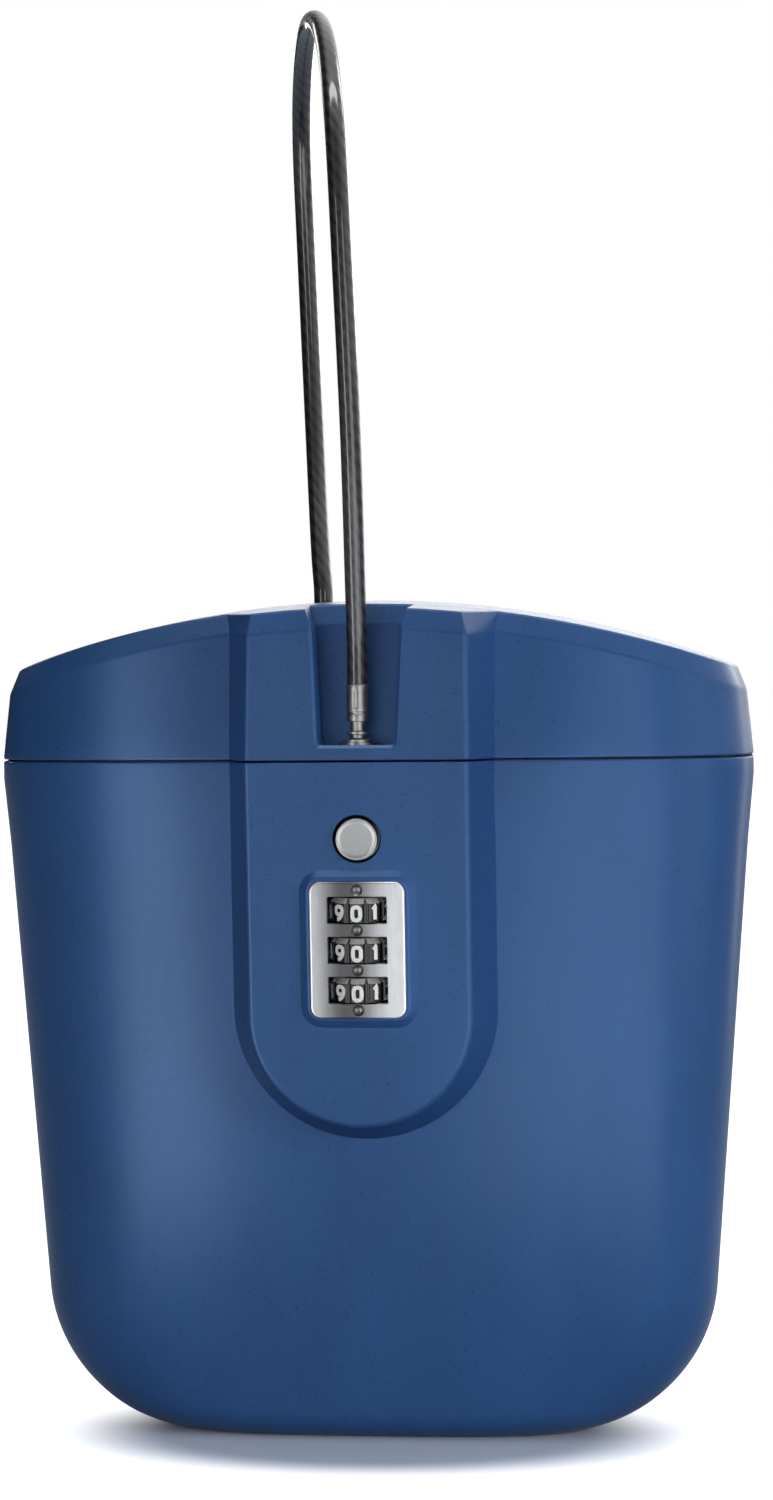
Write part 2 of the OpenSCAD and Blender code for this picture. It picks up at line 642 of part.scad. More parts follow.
module lid_shell() {
    color(blue) difference() {
        union() {
            difference() {
                lid_panel();
                channel(0);
                for (s = [-1, 1]) panel_hollow(s);
            }
            difference() {
                lid_outer();
                lid_inner();
            }
            // bosses for the inner cover and the cable
            intersection() {
                union() {
                    for (p = lid_screws) translate([p[0], p[1], boss_z]) cylinder(r = 3.2, h = lid_h, $fn = 32);
                    translate([stop_xy[0], stop_xy[1], cable_end + 1.5]) cylinder(r = 6, h = 20, $fn = 48);
                }
                translate([0, 0, -1.5]) lid_outer();
            }
            translate([-lid_knuckle, 0, 0]) knuckle(2 * lid_knuckle, [
                [body_d / 2 - wall + 0.2, lid_z], [hinge_y, lid_z],
                [hinge_y + 0.3 * knuckle_r, body_h + 0.94 * knuckle_r],
                [body_d / 2 - 1.5, body_h + 0.8 * web_h], [body_d / 2 - wall + 0.2, body_h + 0.8 * web_h]]);
        }
        translate([-lid_knuckle - 1, hinge_y, body_h]) rotate([0, 90, 0])
            cylinder(r = pin_r + fit, h = 2 * lid_knuckle + 2, $fn = 48);
        for (p = lid_screws) translate([p[0], p[1], boss_z - 1])
            cylinder(r = 1.25, h = lid_screw_h + 1, $fn = 32);
        translate([peg_xy[0], peg_xy[1], body_h]) cylinder(r = 3.2, h = channel_z + 1, $fn = 48);
        translate([stop_xy[0], stop_xy[1], cable_end]) cylinder(r = 3.5, h = 20, $fn = 48);
        translate([stop_xy[0], stop_xy[1], grommet_seat]) cylinder(r = 5.1, h = 10, $fn = 48);
        translate([stop_xy[0], stop_xy[1], cable_end - 5]) cylinder(r = 4.8, h = 6.5, $fn = 48);
    }
}
grommet_seat = top_z(stop_xy[0] - 5, stop_xy[1] + 5) - 0.1;

module lid_liner() {
    color(blue) difference() {
        union() {
            translate([0, 0, lid_z + 0.3]) linear_extrude(height = liner_t)
                polygon(oval(body_w / 2 - wall - 0.7, body_d / 2 - wall - 0.7));
            translate([0, 0, lid_z + 0.3 - lip_h]) linear_extrude(height = lip_h) difference() {
                polygon(oval(body_w / 2 - wall - 1.1, body_d / 2 - wall - 1.1));
                polygon(oval(body_w / 2 - wall - 3.1, body_d / 2 - wall - 3.1));
            }
        }
        for (p = lid_screws) translate([p[0], p[1], lid_z - 1]) {
            cylinder(r = 1.3, h = 10, $fn = 32);
            cylinder(r = 2.5, h = 2, $fn = 32);
        }
    }
}

module lid_screw(i) {
    color(steel) translate([lid_screws[i][0], lid_screws[i][1], lid_z]) {
        difference() {
            translate([0, 0, -0.1]) cylinder(r = 2.3, h = 1.1, $fn = 32);
            for (a = [0, 90]) rotate([0, 0, a]) translate([-1.3, -0.25, -1]) cube([2.6, 0.5, 1.5]);
        }
        translate([0, 0, 0.9]) cylinder(r = 1.2, h = lid_screw_h, $fn = 32);
    }
}
module lid_screw_1() lid_screw(0);
module lid_screw_2() lid_screw(1);
module lid_screw_3() lid_screw(2);
module lid_screw_4() lid_screw(3);

// ---------- cable ----------

module peg_bushing() {
    color(steel) translate([peg_xy[0], peg_xy[1], 0]) rotate_extrude($fn = 48) polygon([
        [peg_r + fit, lid_z + 0.2], [3.15, lid_z + 0.2], [3.15, floor_z],
        [4, floor_z], [4, floor_z + 0.5], [peg_r + fit, floor_z + 0.5]]);
}

module lock_peg() {
    ferrule_z = cable_start - ferrule_l;
    color(steel) translate([peg_xy[0], peg_xy[1], 0]) rotate_extrude($fn = 48) polygon([
        [0, rim_z - 9.6], [1.2, rim_z - 9.6], [peg_r, rim_z - 8.9], [peg_r, rim_z - 7.7],
        [1.2, rim_z - 7.3], [1.2, rim_z - 4.3], [peg_r, rim_z - 3.7],
        [peg_r, floor_z + 0.55], [3.2, floor_z + 0.55], [3.2, floor_z + 1.1],
        [1.65, floor_z + 1.5], [1.65, floor_z + 2.1], [2.45, floor_z + 2.3], [2.45, floor_z + 2.8],
        [1.65, floor_z + 3], [1.65, ferrule_z], [0, ferrule_z]]);
}

module cable_ferrule() {
    r = ferrule_d / 2;
    color(steel) translate([peg_xy[0], peg_xy[1], cable_start - ferrule_l]) rotate_extrude($fn = 48) polygon([
        [0, 0], [r - 0.4, 0], [r, 0.4], [r, 2.2], [r - 0.25, 2.6], [r - 0.25, 3.2], [r, 3.6],
        [r, ferrule_l - 0.4], [r - 0.3, ferrule_l], [0, ferrule_l]]);
}

module cable() {
    color(black) tube(smooth(cable_route, 3), cable_d / 2, 10, [0, 0, 1], [0, 0, -1], [1, 0, 0.2]);
}

module cable_grommet() {
    color(black) translate([stop_xy[0], stop_xy[1], 0]) rotate_extrude($fn = 48) polygon([
        [cable_d / 2 + 0.15, cable_end + 0.3], [4.6, cable_end + 0.3], [4.6, cable_end + 1.4],
        [3.4, cable_end + 1.4], [3.4, grommet_seat], [5, grommet_seat],
        [5, grommet_seat + 1.6], [4.2, grommet_seat + 2.2], [cable_d / 2 + 0.15, grommet_seat + 2.2]]);
}

module cable_stop() {
    color(steel) translate([stop_xy[0], stop_xy[1], cable_end - stop_h]) cylinder(r = 3.6, h = stop_h, $fn = 48);
}

body_shell();
rim_seal();
lock_housing();
lock_cover();
lock_screw_1();
lock_screw_2();
lock_screw_3();
lock_screw_4();
face_plate();
spindle();
detent_spring();
hinge_pin();
dial_wheel_top();
dial_sleeve_top();
dial_wheel_middle();
dial_sleeve_middle();
dial_wheel_bottom();
dial_sleeve_bottom();
button();
fence_comb();
button_spring();
latch_slide();
latch_spring();
lid_shell();
lid_liner();
lid_screw_1();
lid_screw_2();
lid_screw_3();
lid_screw_4();
peg_bushing();
cable_grommet();
cable();
cable_ferrule();
lock_peg();
cable_stop();
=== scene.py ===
import math

import bmesh
import bpy
import numpy as np
from bpy.props import FloatProperty, FloatVectorProperty, IntProperty, PointerProperty
from mathutils import Matrix, Vector


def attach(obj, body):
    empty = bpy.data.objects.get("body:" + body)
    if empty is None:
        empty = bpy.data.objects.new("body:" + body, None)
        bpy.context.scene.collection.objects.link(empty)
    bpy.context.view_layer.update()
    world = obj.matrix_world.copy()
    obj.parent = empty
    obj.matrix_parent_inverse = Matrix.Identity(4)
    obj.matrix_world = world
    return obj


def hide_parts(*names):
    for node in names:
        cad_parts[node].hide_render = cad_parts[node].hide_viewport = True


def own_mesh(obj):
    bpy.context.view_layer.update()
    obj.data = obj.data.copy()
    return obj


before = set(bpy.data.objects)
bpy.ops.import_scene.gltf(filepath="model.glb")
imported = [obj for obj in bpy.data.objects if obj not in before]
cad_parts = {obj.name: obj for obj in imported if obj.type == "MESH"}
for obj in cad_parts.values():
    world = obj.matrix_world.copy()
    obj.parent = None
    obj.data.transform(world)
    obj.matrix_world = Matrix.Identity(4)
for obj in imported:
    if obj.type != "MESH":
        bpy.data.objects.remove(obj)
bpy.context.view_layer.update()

bl_info = {
    "name": "Portable beach safe",
    "version": (1, 0, 0),
    "blender": (4, 5, 0),
    "location": "View3D > Sidebar > Beach Safe",
    "description": "Builds the visible pieces and the finishes of a portable beach safe round its CAD frame",
    "category": "Add Mesh",
}

MM = 0.001           # a millimetre in metres, for sizes that are worked out in millimetres
MERGE = 0.002        # millimetres within which two points of a surface are one
DIGITS = 10          # digits and finger notches round a dial wheel
CROWN_REACH = 36     # millimetres from the middle of the lid's top at which the crown is its fall
PILOT = 1.25         # radius of a screw's pilot hole
PIN_PLAY = 0.05      # play of the hinge pin in its bores


# ---------------------------------------------------------------- settings

def linear(hex_colour):
    """sRGB hex to linear RGB: a channel under 0.04045 is divided by 12.92, and any other is (c + 0.055) / 1.055 to the
    power 2.4."""
    channels = [int(hex_colour[i:i + 2], 16) / 255 for i in (0, 2, 4)]
    return tuple(c / 12.92 if c <= 0.04045 else ((c + 0.055) / 1.055) ** 2.4 for c in channels)


def length(name, description, millimetres):
    """A size in metres, given in millimetres."""
    return FloatProperty(name=name, description=description, default=millimetres * MM, unit="LENGTH", precision=5)


def angle(name, description, degrees):
    """An angle in radians, given in degrees."""
    return FloatProperty(name=name, description=description, default=math.radians(degrees), unit="ROTATION")


def colour(name, description, hex_colour):
    """A colour picker whose default is an sRGB hex value turned to linear."""
    return FloatVectorProperty(name=name, description=description, subtype="COLOR", size=3, min=0, max=1,
                               default=linear(hex_colour))


class SafeSizes(bpy.types.PropertyGroup):
    """Sizes of the safe, as in its CAD source but for the finest: the parting gap and the digits."""
    body_width: length("Body width", "Width across the parting line", 168)
    body_depth: length("Body depth", "Depth across the parting line, without the raised panel", 77)
    body_height: length("Body height", "Height of the parting line above the base", 149.5)
    wall: length("Wall", "Wall thickness of the mouldings", 3)
    floor: length("Floor", "Thickness of the floor", 3.5)
    draft: angle("Draft", "Taper of the body on each side", 4.25)
    corner_radius: length("Corner radius", "Radius of the two bottom corners, seen from the front", 31)
    base_radius: length("Base radius", "Rounding round the rest of the base", 6)
    squareness: FloatProperty(name="Squareness", description="Squareness of the plan outline, where 2 is an ellipse",
                              default=3.6, min=2, max=4)
    top_height: length("Top height", "Height of the top of the arch above the base", 184.5)
    arch_share: FloatProperty(name="Arch", description="Fall of the arch to the ends, as a share of the lid's height",
                              default=0.475, min=0, max=0.8)
    crown: length("Crown", "Fall of the top from the middle to the front and the back", 1.4)
    lid_lean: angle("Lid lean", "Inward lean of the lid's walls", 5.8)
    bevel_height: length("Bevel height", "Height of the bevel round the top edge", 4.4)
    bevel_inset: length("Bevel inset", "Inset of the bevel round the top edge", 1.55)
    parting_gap: length("Parting gap", "Gap between the body and the lid", 0.38)
    panel_out: length("Panel depth", "How far the raised panel stands out of the body", 11)
    panel_half: length("Panel half width", "Half width of the panel's face, and radius of its lower end", 24)
    panel_low: length("Panel low", "Height of the middle of the panel's round lower end", 94.8)
    panel_slant: angle("Panel slant", "Slant of the panel's side walls", 23)
    panel_lean: angle("Panel lean", "Lean of the panel's face on the lid", 3.5)
    panel_wall: length("Panel wall", "Wall thickness of the panel's face", 2.5)
    panel_edge: length("Panel edge", "Rounding of the panel's edge", 1.0)
    channel_width: length("Channel width", "Width of the cable channel at its floor", 16.4)
    channel_slant: angle("Channel slant", "Outward slant of the channel's side walls", 2.75)
    channel_floor: length("Channel floor", "Height of the channel's floor above the parting line", 3.4)
    plate_width: length("Plate width", "Width of the face plate", 20.6)
    plate_height: length("Plate height", "Height of the face plate", 29.4)
    plate_thickness: length("Plate thickness", "Thickness of the face plate", 1)
    plate_corner: length("Plate corner", "Corner radius of the face plate", 2.4)
    pad_thickness: length("Pad thickness", "Height of the pad under the face plate", 1.2)
    pad_border: length("Pad border", "Border of the pad round the face plate", 2.3)
    window_width: length("Window width", "Width of a window", 12.4)
    window_height: length("Window height", "Height of a window", 5.5)
    dial_pitch: length("Dial pitch", "Distance from one dial to the next", 8.6)
    dial_radius: length("Dial radius", "Radius of a dial wheel", 6.5)
    dial_height: length("Dial height", "Height of a dial wheel", 5.2)
    dial_out: length("Dial out", "How far a wheel stands out of its window", 1.2)
    dial_cone: length("Dial cone", "Width of the cone on a wheel's upper edge", 1.15)
    dials_low: length("Dials low", "Middle of the dials below the parting line, along the panel", 40.2)
    digit_width: length("Digit width", "Width of a digit", 2.55)
    digit_height: length("Digit height", "Height of a digit", 3.6)
    digit_stroke: length("Digit stroke", "Width of a digit's stroke", 0.84)
    button_radius: length("Button radius", "Radius of the button", 4.45)
    button_gap: length("Button gap", "Gap round the button", 0.75)
    button_out: length("Button out", "How far the button stands out of the panel", 1)
    button_low: length("Button low", "Distance of the button below the parting line, along the panel", 16.6)
    button_travel: length("Button travel", "Travel of the button", 1.2)
    latch_low: length("Latch low", "Distance of the latch's middle below the parting line, along the panel", 6.25)
    latch_travel: length("Latch travel", "Travel of the latch", 2.6)
    seat_gap: length("Seat gap", "Clearance beside a free face", 0.3)
    spring_wire: length("Spring wire", "Wire of the button's spring", 0.6)
    hinge_half: length("Hinge half", "Half length of the hinge", 37)
    lid_knuckle: length("Lid knuckle", "Half length of the lid's knuckle", 20)
    knuckle_radius: length("Knuckle radius", "Radius of the knuckles", 3.6)
    pin_radius: length("Pin radius", "Radius of the hinge pin", 1.5)
    cable_diameter: length("Cable diameter", "Diameter of the coated cable", 4.4)
    ferrule_diameter: length("Ferrule diameter", "Diameter of the crimped ferrule", 4.7)
    ferrule_length: length("Ferrule length", "Length of the crimped ferrule", 8)
    outline_points: IntProperty(name="Outline points", description="Points round the plan outline",
                                default=288, min=72, max=720)


class SafeColours(bpy.types.PropertyGroup):
    """Colours of the safe."""
    shell: colour("Shell", "Moulded ABS of the body and the lid", "2A4E82")
    plate: colour("Plate", "Brushed face plate", "C9C8C6")
    button: colour("Button", "Faced steel of the push button", "9D9C99")
    crimp: colour("Ferrule", "Dull nickel of the ferrule and the locking peg", "8C8A88")
    steel: colour("Steel", "Turned and plated steel", "C6C8CB")
    wheel: colour("Wheel", "Acetal dial wheels", "070708")
    # Wheel edge: the pale grey of the wheels' upper cone is a painted highlight
    cone: colour("Wheel edge", "Ground upper edge of the dial wheels", "8E8E8C")
    digit: colour("Digit", "Paint of the digits", "F4F4F2")
    strand: colour("Strand", "Steel strands seen through the cable's coating", "2C2A28")
    rubber: colour("Rubber", "Seal and grommet", "1B1C1E")
    housing: colour("Housing", "Glass-filled nylon of the lock", "2E3136")


def sizes():
    """The scene's sizes in millimetres and its angles in radians, and what follows from them."""
    group = bpy.context.scene.beach_safe_sizes
    made = type("Sizes", (), {})()
    for key, prop in group.bl_rna.properties.items():
        if key in ("rna_type", "name"):
            continue
        value = getattr(group, key)
        setattr(made, key, value / MM if getattr(prop, "unit", "") == "LENGTH" else value)
    made.lid_z = made.body_height + made.parting_gap / 2
    made.rim_z = made.body_height - made.parting_gap / 2
    made.panel_y = made.body_depth / 2 + made.panel_out
    made.panel_len = (made.body_height - made.panel_low) / math.cos(made.draft)
    made.panel_deep = made.panel_out + made.wall - made.seat_gap
    made.floor_z = made.body_height + made.channel_floor
    made.channel_top = made.top_height - made.crown * (made.panel_y / CROWN_REACH) ** 2 - made.bevel_height
    hinge_gap, cable_rise, stop_drop = 0.6, 13, 8.5
    made.hinge_y = made.body_depth / 2 + made.knuckle_radius + hinge_gap
    made.cable_z = made.floor_z + cable_rise
    made.stop_z = made.top_height - stop_drop
    fall = made.arch_share * (made.top_height - made.body_height)
    made.arch_radius = (fall ** 2 + made.body_width ** 2 / 4) / (2 * fall)
    made.dial_y = made.dial_radius - made.dial_out - made.plate_thickness - made.pad_thickness
    made.dial_zs = {"top": made.dial_pitch - made.dials_low, "middle": -made.dials_low,
                    "bottom": -made.dial_pitch - made.dials_low}
    # Places of the cable's two feet, seen from above: the peg in the channel and the stop at the back of the lid
    made.peg = (0, -made.panel_y + 5.5)
    made.stop = (-16, made.body_depth / 2 - 10.5)
    return made


# ---------------------------------------------------------------- surfaces

def solid(name, grids=(), caps=(), uvs=()):
    """A closed mesh from point grids and flat caps, in millimetres: the neighbours in a grid make four-sided faces, a
    cap is one face round its loop, points that meet are merged, and the faces are turned outwards. uvs holds a grid of
    pairs for each grid."""
    points, faces, pairs, start = [], [], [], 0
    for k, grid in enumerate(grids):
        rows, cols = grid.shape[:2]
        index = start + np.arange(rows * cols).reshape(rows, cols)
        around = np.stack([index[:-1, :-1], index[:-1, 1:], index[1:, 1:], index[1:, :-1]], -1).reshape(-1, 4)
        faces += around.tolist()
        points.append(grid.reshape(-1, 3))
        if uvs:
            pairs.append(uvs[k].reshape(-1, 2)[(around - start).ravel()])
        start += rows * cols
    for cap in caps:
        faces.append(list(range(start, start + len(cap))))
        points.append(np.asarray(cap, float))
        if uvs:
            pairs.append(np.zeros((len(cap), 2)))
        start += len(cap)
    mesh = bpy.data.meshes.new(name)
    mesh.from_pydata((np.concatenate(points) * MM).tolist(), [], faces)
    if uvs:
        layer = mesh.uv_layers.new(name="UVMap")
        layer.data.foreach_set("uv", np.concatenate(pairs).astype(np.float32).ravel())
    form = bmesh.new()
    form.from_mesh(mesh)
    bmesh.ops.remove_doubles(form, verts=form.verts, dist=MERGE * MM)
    bmesh.ops.recalc_face_normals(form, faces=form.faces)
    if form.calc_volume(signed=True) < 0:
        bmesh.ops.reverse_faces(form, faces=form.faces)
    form.to_mesh(mesh)
    form.free()
    piece = bpy.data.objects.new(name, mesh)
    bpy.context.scene.collection.objects.link(piece)
    return piece


def ring_round(grid):
    """The grid with its first column again at its end, so that each row closes on itself."""
    return np.concatenate([grid, grid[:, :1]], axis=1)


def tube(name, grid):
    """A solid from a grid of closed rings, with a flat cap on the first ring and the last."""
    return solid(name, [ring_round(grid)], [grid[0], grid[-1]])


def combine(piece, others, operation):
    """Joins other solids to a piece, or cuts them out of it, and removes them."""
    for other in others:
        step = piece.modifiers.new(operation.title(), "BOOLEAN")
        step.operation, step.object, step.solver = operation, other, "MANIFOLD"
    bpy.context.view_layer.update()
    mesh = bpy.data.meshes.new_from_object(piece.evaluated_get(bpy.context.evaluated_depsgraph_get()))
    if not len(mesh.polygons):
        raise RuntimeError(piece.name + " has no faces left")
    piece.modifiers.clear()
    old, piece.data = piece.data, mesh
    bpy.data.meshes.remove(old)
    for other in others:
        bpy.data.meshes.remove(other.data)
    return piece


def finish_piece(piece, body, material, replaced=(), sharp=20):
    """Shades a piece smooth up to the sharp angle in degrees, gives it its material and ties it to its CAD body."""
    piece.data.name = piece.name
    piece.data.shade_smooth()
    piece.data.set_sharp_from_angle(angle=math.radians(sharp))
    piece.data.materials.clear()
    piece.data.materials.append(material)
    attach(piece, body)
    if replaced:
        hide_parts(*replaced)
    return piece


def bend(first, corner, last, steps):
    """Parabola from first to last whose end tangents meet at the corner: (1-t) squared of first, 2t(1-t) of the corner
    and t squared of last."""
    t = np.linspace(0, 1, steps + 1)[:, None]
    first, corner, last = (np.asarray(point, float) for point in (first, corner, last))
    return (1 - t) ** 2 * first + 2 * t * (1 - t) * corner + t ** 2 * last


def soften(profile, cuts, steps=5):
    """A profile whose corners are rounded: a corner with a cut becomes a parabola that leaves its two sides that far
    from it, with a point just outside each end that keeps the flats flat."""
    beside = 1.15
    profile, made = np.asarray(profile, float), []
    for i, point in enumerate(profile):
        cut = cuts[i] if i < len(cuts) else 0
        if not cut:
            made.append(point[None])
            continue
        back, on = profile[i - 1] - point, profile[i + 1] - point
        back, on = back / np.linalg.norm(back), on / np.linalg.norm(on)
        made += [(point + back * cut * beside)[None], bend(point + back * cut, point, point + on * cut, steps),
                 (point + on * cut * beside)[None]]
    return np.concatenate(made)


def signed_power(value, squareness):
    """A cosine or sine to the power 2/n, with its own sign."""
    return np.sign(value) * np.abs(value) ** (2 / squareness)


def oval(a, b, squareness, count):
    """Squared ellipse, for each pair of half sizes a and b: x is a times cos t to the power 2/n with its own sign, and
    y is b times sin t to the same power."""
    t = np.linspace(0, 2 * np.pi, count, endpoint=False)
    a, b = np.asarray(a, float)[..., None], np.asarray(b, float)[..., None]
    return np.stack([a * signed_power(np.cos(t), squareness), b * signed_power(np.sin(t), squareness)], -1)


def stacked_ovals(a, b, z, s):
    """Rings of the mouldings' plan, one for each half width, half depth and height."""
    ring = oval(a, b, s.squareness, s.outline_points)
    return np.concatenate([ring, np.broadcast_to(np.asarray(z, float)[:, None, None], ring.shape[:2] + (1,))], -1)


def rings_about(radius, height, count, centre=(0, 0)):
    """Rings about Z, for columns or grids of radii and heights: each radius goes round the centre as cosine and
    sine."""
    t = np.linspace(0, 2 * np.pi, count, endpoint=False)
    x, y = radius * np.cos(t) + centre[0], radius * np.sin(t) + centre[1]
    return np.stack([x, y, np.broadcast_to(height, x.shape)], -1)


def turned(profile, count=64, centre=(0, 0)):
    """Surface of revolution about Z, from pairs of radius and height."""
    profile = np.asarray(profile, float)
    return rings_about(profile[:, :1], profile[:, 1:], count, centre)


def on_panel(points, s):
    """Points of the panel's frame (x right, y into the body, z up the face) in the object's frame: y and z turn by the
    draft about the face's middle at the parting line."""
    x, y, z = np.moveaxis(np.asarray(points, float), -1, 0)
    c, d = math.cos(s.draft), math.sin(s.draft)
    return np.stack([x, -s.panel_y + y * c - z * d, s.body_height + y * d + z * c], -1)


def facing(grid):
    """A surface about Z turned to point along the panel's depth: its z becomes y, and its y becomes -z."""
    return np.stack([grid[..., 0], grid[..., 2], -grid[..., 1]], -1)


def standing(outline, y):
    """Points at depth y from a front view's pairs of x and z."""
    return np.column_stack([outline[:, 0], np.full(len(outline), y), outline[:, 1]])


def prism(name, outline, y0, y1, place):
    """Straight prism of a closed outline in x and z, from y0 to y1, put in place."""
    return tube(name, place(np.stack([standing(outline, y) for y in (y0, y1)])))


def pin(name, x, z, y0, y1, radius, place, count=48):
    """Round rod along the panel's depth, centred at x and z."""
    return tube(name, place(facing(turned([[radius, y0], [radius, y1]], count)) + np.array([x, 0, z])))


def post(name, x, y, z0, z1, radius, count=48):
    """Upright round rod."""
    return tube(name, turned([[radius, z0], [radius, z1]], count, (x, y)))


def rod(name, x0, x1, y, z, radius, count=48):
    """Round rod along X."""
    grid = turned([[radius, x0], [radius, x1]], count)
    return tube(name, np.stack([grid[..., 2], y + grid[..., 0], z + grid[..., 1]], -1))


def block(name, low, high, place):
    """Straight block between two corners."""
    (x0, y0, z0), (x1, y1, z1) = low, high
    return prism(name, np.array([[x0, z0], [x1, z0], [x1, z1], [x0, z1]], float), y0, y1, place)


def round_rect(width, height, radius, steps=10):
    """Closed outline of a rounded rectangle: four quarter circles at its corners."""
    t, parts = np.linspace(0, np.pi / 2, steps + 1), []
    for k, (i, j) in enumerate([(1, 1), (-1, 1), (-1, -1), (1, -1)]):
        a = t + k * np.pi / 2
        parts.append(np.column_stack([i * (width / 2 - radius) + radius * np.cos(a),
                                      j * (height / 2 - radius) + radius * np.sin(a)]))
    return np.concatenate(parts)


def round_rect_stack(name, s, width, height, radius, profile, z, least=0.05):
    """Solid of rounded rectangles on the panel, for a profile's pairs of growth and depth: each is larger than the
    given one by its growth on every side, and its corners grow with it, but stay at or above the least radius."""
    rows = [standing(round_rect(width + 2 * grow, height + 2 * grow, max(radius + grow, least)), y)
            for grow, y in profile]
    return tube(name, on_panel(np.stack(rows) + np.array([0, 0, z]), s))


def u_outline(radius, top, s, steps=48):
    """Closed outline of the raised panel: straight sides from the top down to the middle of the round end, and a half
    circle."""
    a = np.linspace(0, -np.pi, steps + 1)
    arc = np.column_stack([radius * np.cos(a), radius * np.sin(a) - s.panel_len])
    return np.concatenate([[[radius, top]], arc, [[-radius, top]]])


def parting_edge(z, way, steps):
    """Rounded edge at height z of a wall that goes down (way -1) or up (way 1) from it: pairs of inset and height, from
    the wall to the flat."""
    reach, cut = 4.0, 0.45
    return soften([[0, z + way * reach], [0, z], [reach, z]], [0, cut], steps)


def panel_side(s):
    """Half of the raised panel's section, as pairs of half width and depth: a strip of face, the rounded edge and the
    slanted wall, and the direction that points out of each place of it."""
    strip, far = 2.2, s.panel_deep
    profile = soften([[s.panel_half - strip, 0], [s.panel_half, 0],
                      [s.panel_half + far * math.tan(s.panel_slant), far]], [0, s.panel_edge], 8)
    step = np.gradient(profile, axis=0)
    return profile, np.column_stack([step[:, 1], -step[:, 0]]) / np.linalg.norm(step, axis=1, keepdims=True)


# ---------------------------------------------------------------- body

def half_sizes(z, s):
    """Half width and half depth of the mouldings at height z: they shrink by the draft below the parting line, and by
    the lid's lean above it."""
    z = np.asarray(z, float)
    taper = np.where(z < s.body_height, (s.body_height - z) * math.tan(s.draft),
                     (z - s.body_height) * math.tan(s.lid_lean))
    return s.body_width / 2 - taper, s.body_depth / 2 - taper


def round_in(radius, z):
    """Inset of a quarter circle of that radius at height z above its lowest point: radius less the root of radius
    squared less (radius - z) squared."""
    z = np.clip(z, 0, radius)
    return radius - np.sqrt(np.maximum(0, radius ** 2 - (radius - z) ** 2))


def bucket(name, s, inset, low, rim):
    """Tapered bucket: a stack of squared ellipses, each moved in by the inset and by the rounding of the corners and of
    the base, and on them the rim's pairs of inset and height."""
    corner, base = s.corner_radius - inset, max(s.base_radius - inset, 2)
    turn = np.linspace(0, np.pi / 2, 27)
    zs = [corner * (1 - np.cos(turn)), base * (1 - np.cos(turn[::2])), [0.04, 0.12]]
    zs = np.unique(np.round(np.concatenate(zs), 3))
    zs = np.concatenate([low + zs, np.linspace(low + corner, rim[0, 1], 9)[1:-1]])
    a, b = half_sizes(zs, s)
    rows = stacked_ovals(a - inset - round_in(corner, zs - low), b - inset - round_in(base, zs - low), zs, s)
    a, b = half_sizes(s.rim_z, s)
    top = stacked_ovals(a - inset - rim[:, 0], b - inset - rim[:, 0], rim[:, 1], s)
    underside = rows[:1] * np.array([0.97, 0.97, 1])
    return tube(name, np.concatenate([underside, rows, top]))


def rim_ring(name, s, inset_a, inset_b, z0, z1):
    """Band of wall between two insets and two heights."""
    inset, z = np.array([(inset_a, z0), (inset_a, z1), (inset_b, z1), (inset_b, z0), (inset_a, z0)], float).T
    return solid(name, [ring_round(stacked_ovals(s.body_width / 2 - inset, s.body_depth / 2 - inset, z, s))])


def raised_panel(name, s):
    """Raised panel of the body: the panel's section is carried round its U, and moves in at the parting line by a small
    rounding. Point = middle line of the U + width times its outward direction, at the section's depth."""
    profile, normal = panel_side(s)
    a = np.linspace(0, -np.pi, 65)
    round_end = np.stack([profile[:, 0] * np.cos(a)[:, None], np.broadcast_to(profile[:, 1], (65, len(profile))),
                          profile[:, 0] * np.sin(a)[:, None] - s.panel_len], -1)
    edge = parting_edge(s.rim_z, -1, 4)[1:-2]

    def side(sign):
        rows = []
        for inset, z in edge:
            p = profile - inset * normal
            up = (z - s.body_height - p[:, 1] * math.sin(s.draft)) / math.cos(s.draft)
            rows.append(np.column_stack([sign * p[:, 0], p[:, 1], up]))
        return np.stack(rows)
    grid = on_panel(np.concatenate([side(1)[::-1], round_end, side(-1)]), s)
    n = len(edge)
    front = grid[n - 1:len(grid) - n + 1, 0]
    strip = np.stack([grid[:n, 0], grid[::-1][:n, 0]], 1)
    top = np.concatenate([grid[0], grid[-1][::-1]])
    return solid(name, [grid, strip], [front, top, grid[:, -1]])


def plate_pad(name, s):
    """Pad under the face plate: rounded rectangles that shrink from the pad's foot to its top over a rounded edge."""
    sunk, ledge, cover, cut = 0.6, 0.6, 4, 0.45
    profile = soften([[s.pad_border, sunk], [s.pad_border, 0], [ledge, -s.pad_thickness], [-cover, -s.pad_thickness]],
                     [0, 0, cut], 5)
    return round_rect_stack(name, s, s.plate_width, s.plate_height, s.plate_corner, profile, -s.dials_low, 0.4)


def lock_screws(s):
    """Places of the lock's screws in the panel's frame."""
    half = s.panel_half - s.panel_wall - 0.3
    upper, lower, high, low = half - 4.2, half - 5.4, -12, -s.panel_len - 5
    return [(-upper, high), (upper, high), (-lower, low), (lower, low)]


def knuckle(name, s, x0, x1, web):
    """Hinge knuckle: a rod on the hinge's axis with a web of the given side view."""
    web = np.asarray(web, float)
    foot = tube(name + "_web", np.stack([np.column_stack([np.full(len(web), x), web]) for x in (x0, x1)]))
    return combine(rod(name, x0, x1, s.hinge_y, s.body_height, s.knuckle_radius, 64), [foot], "UNION")


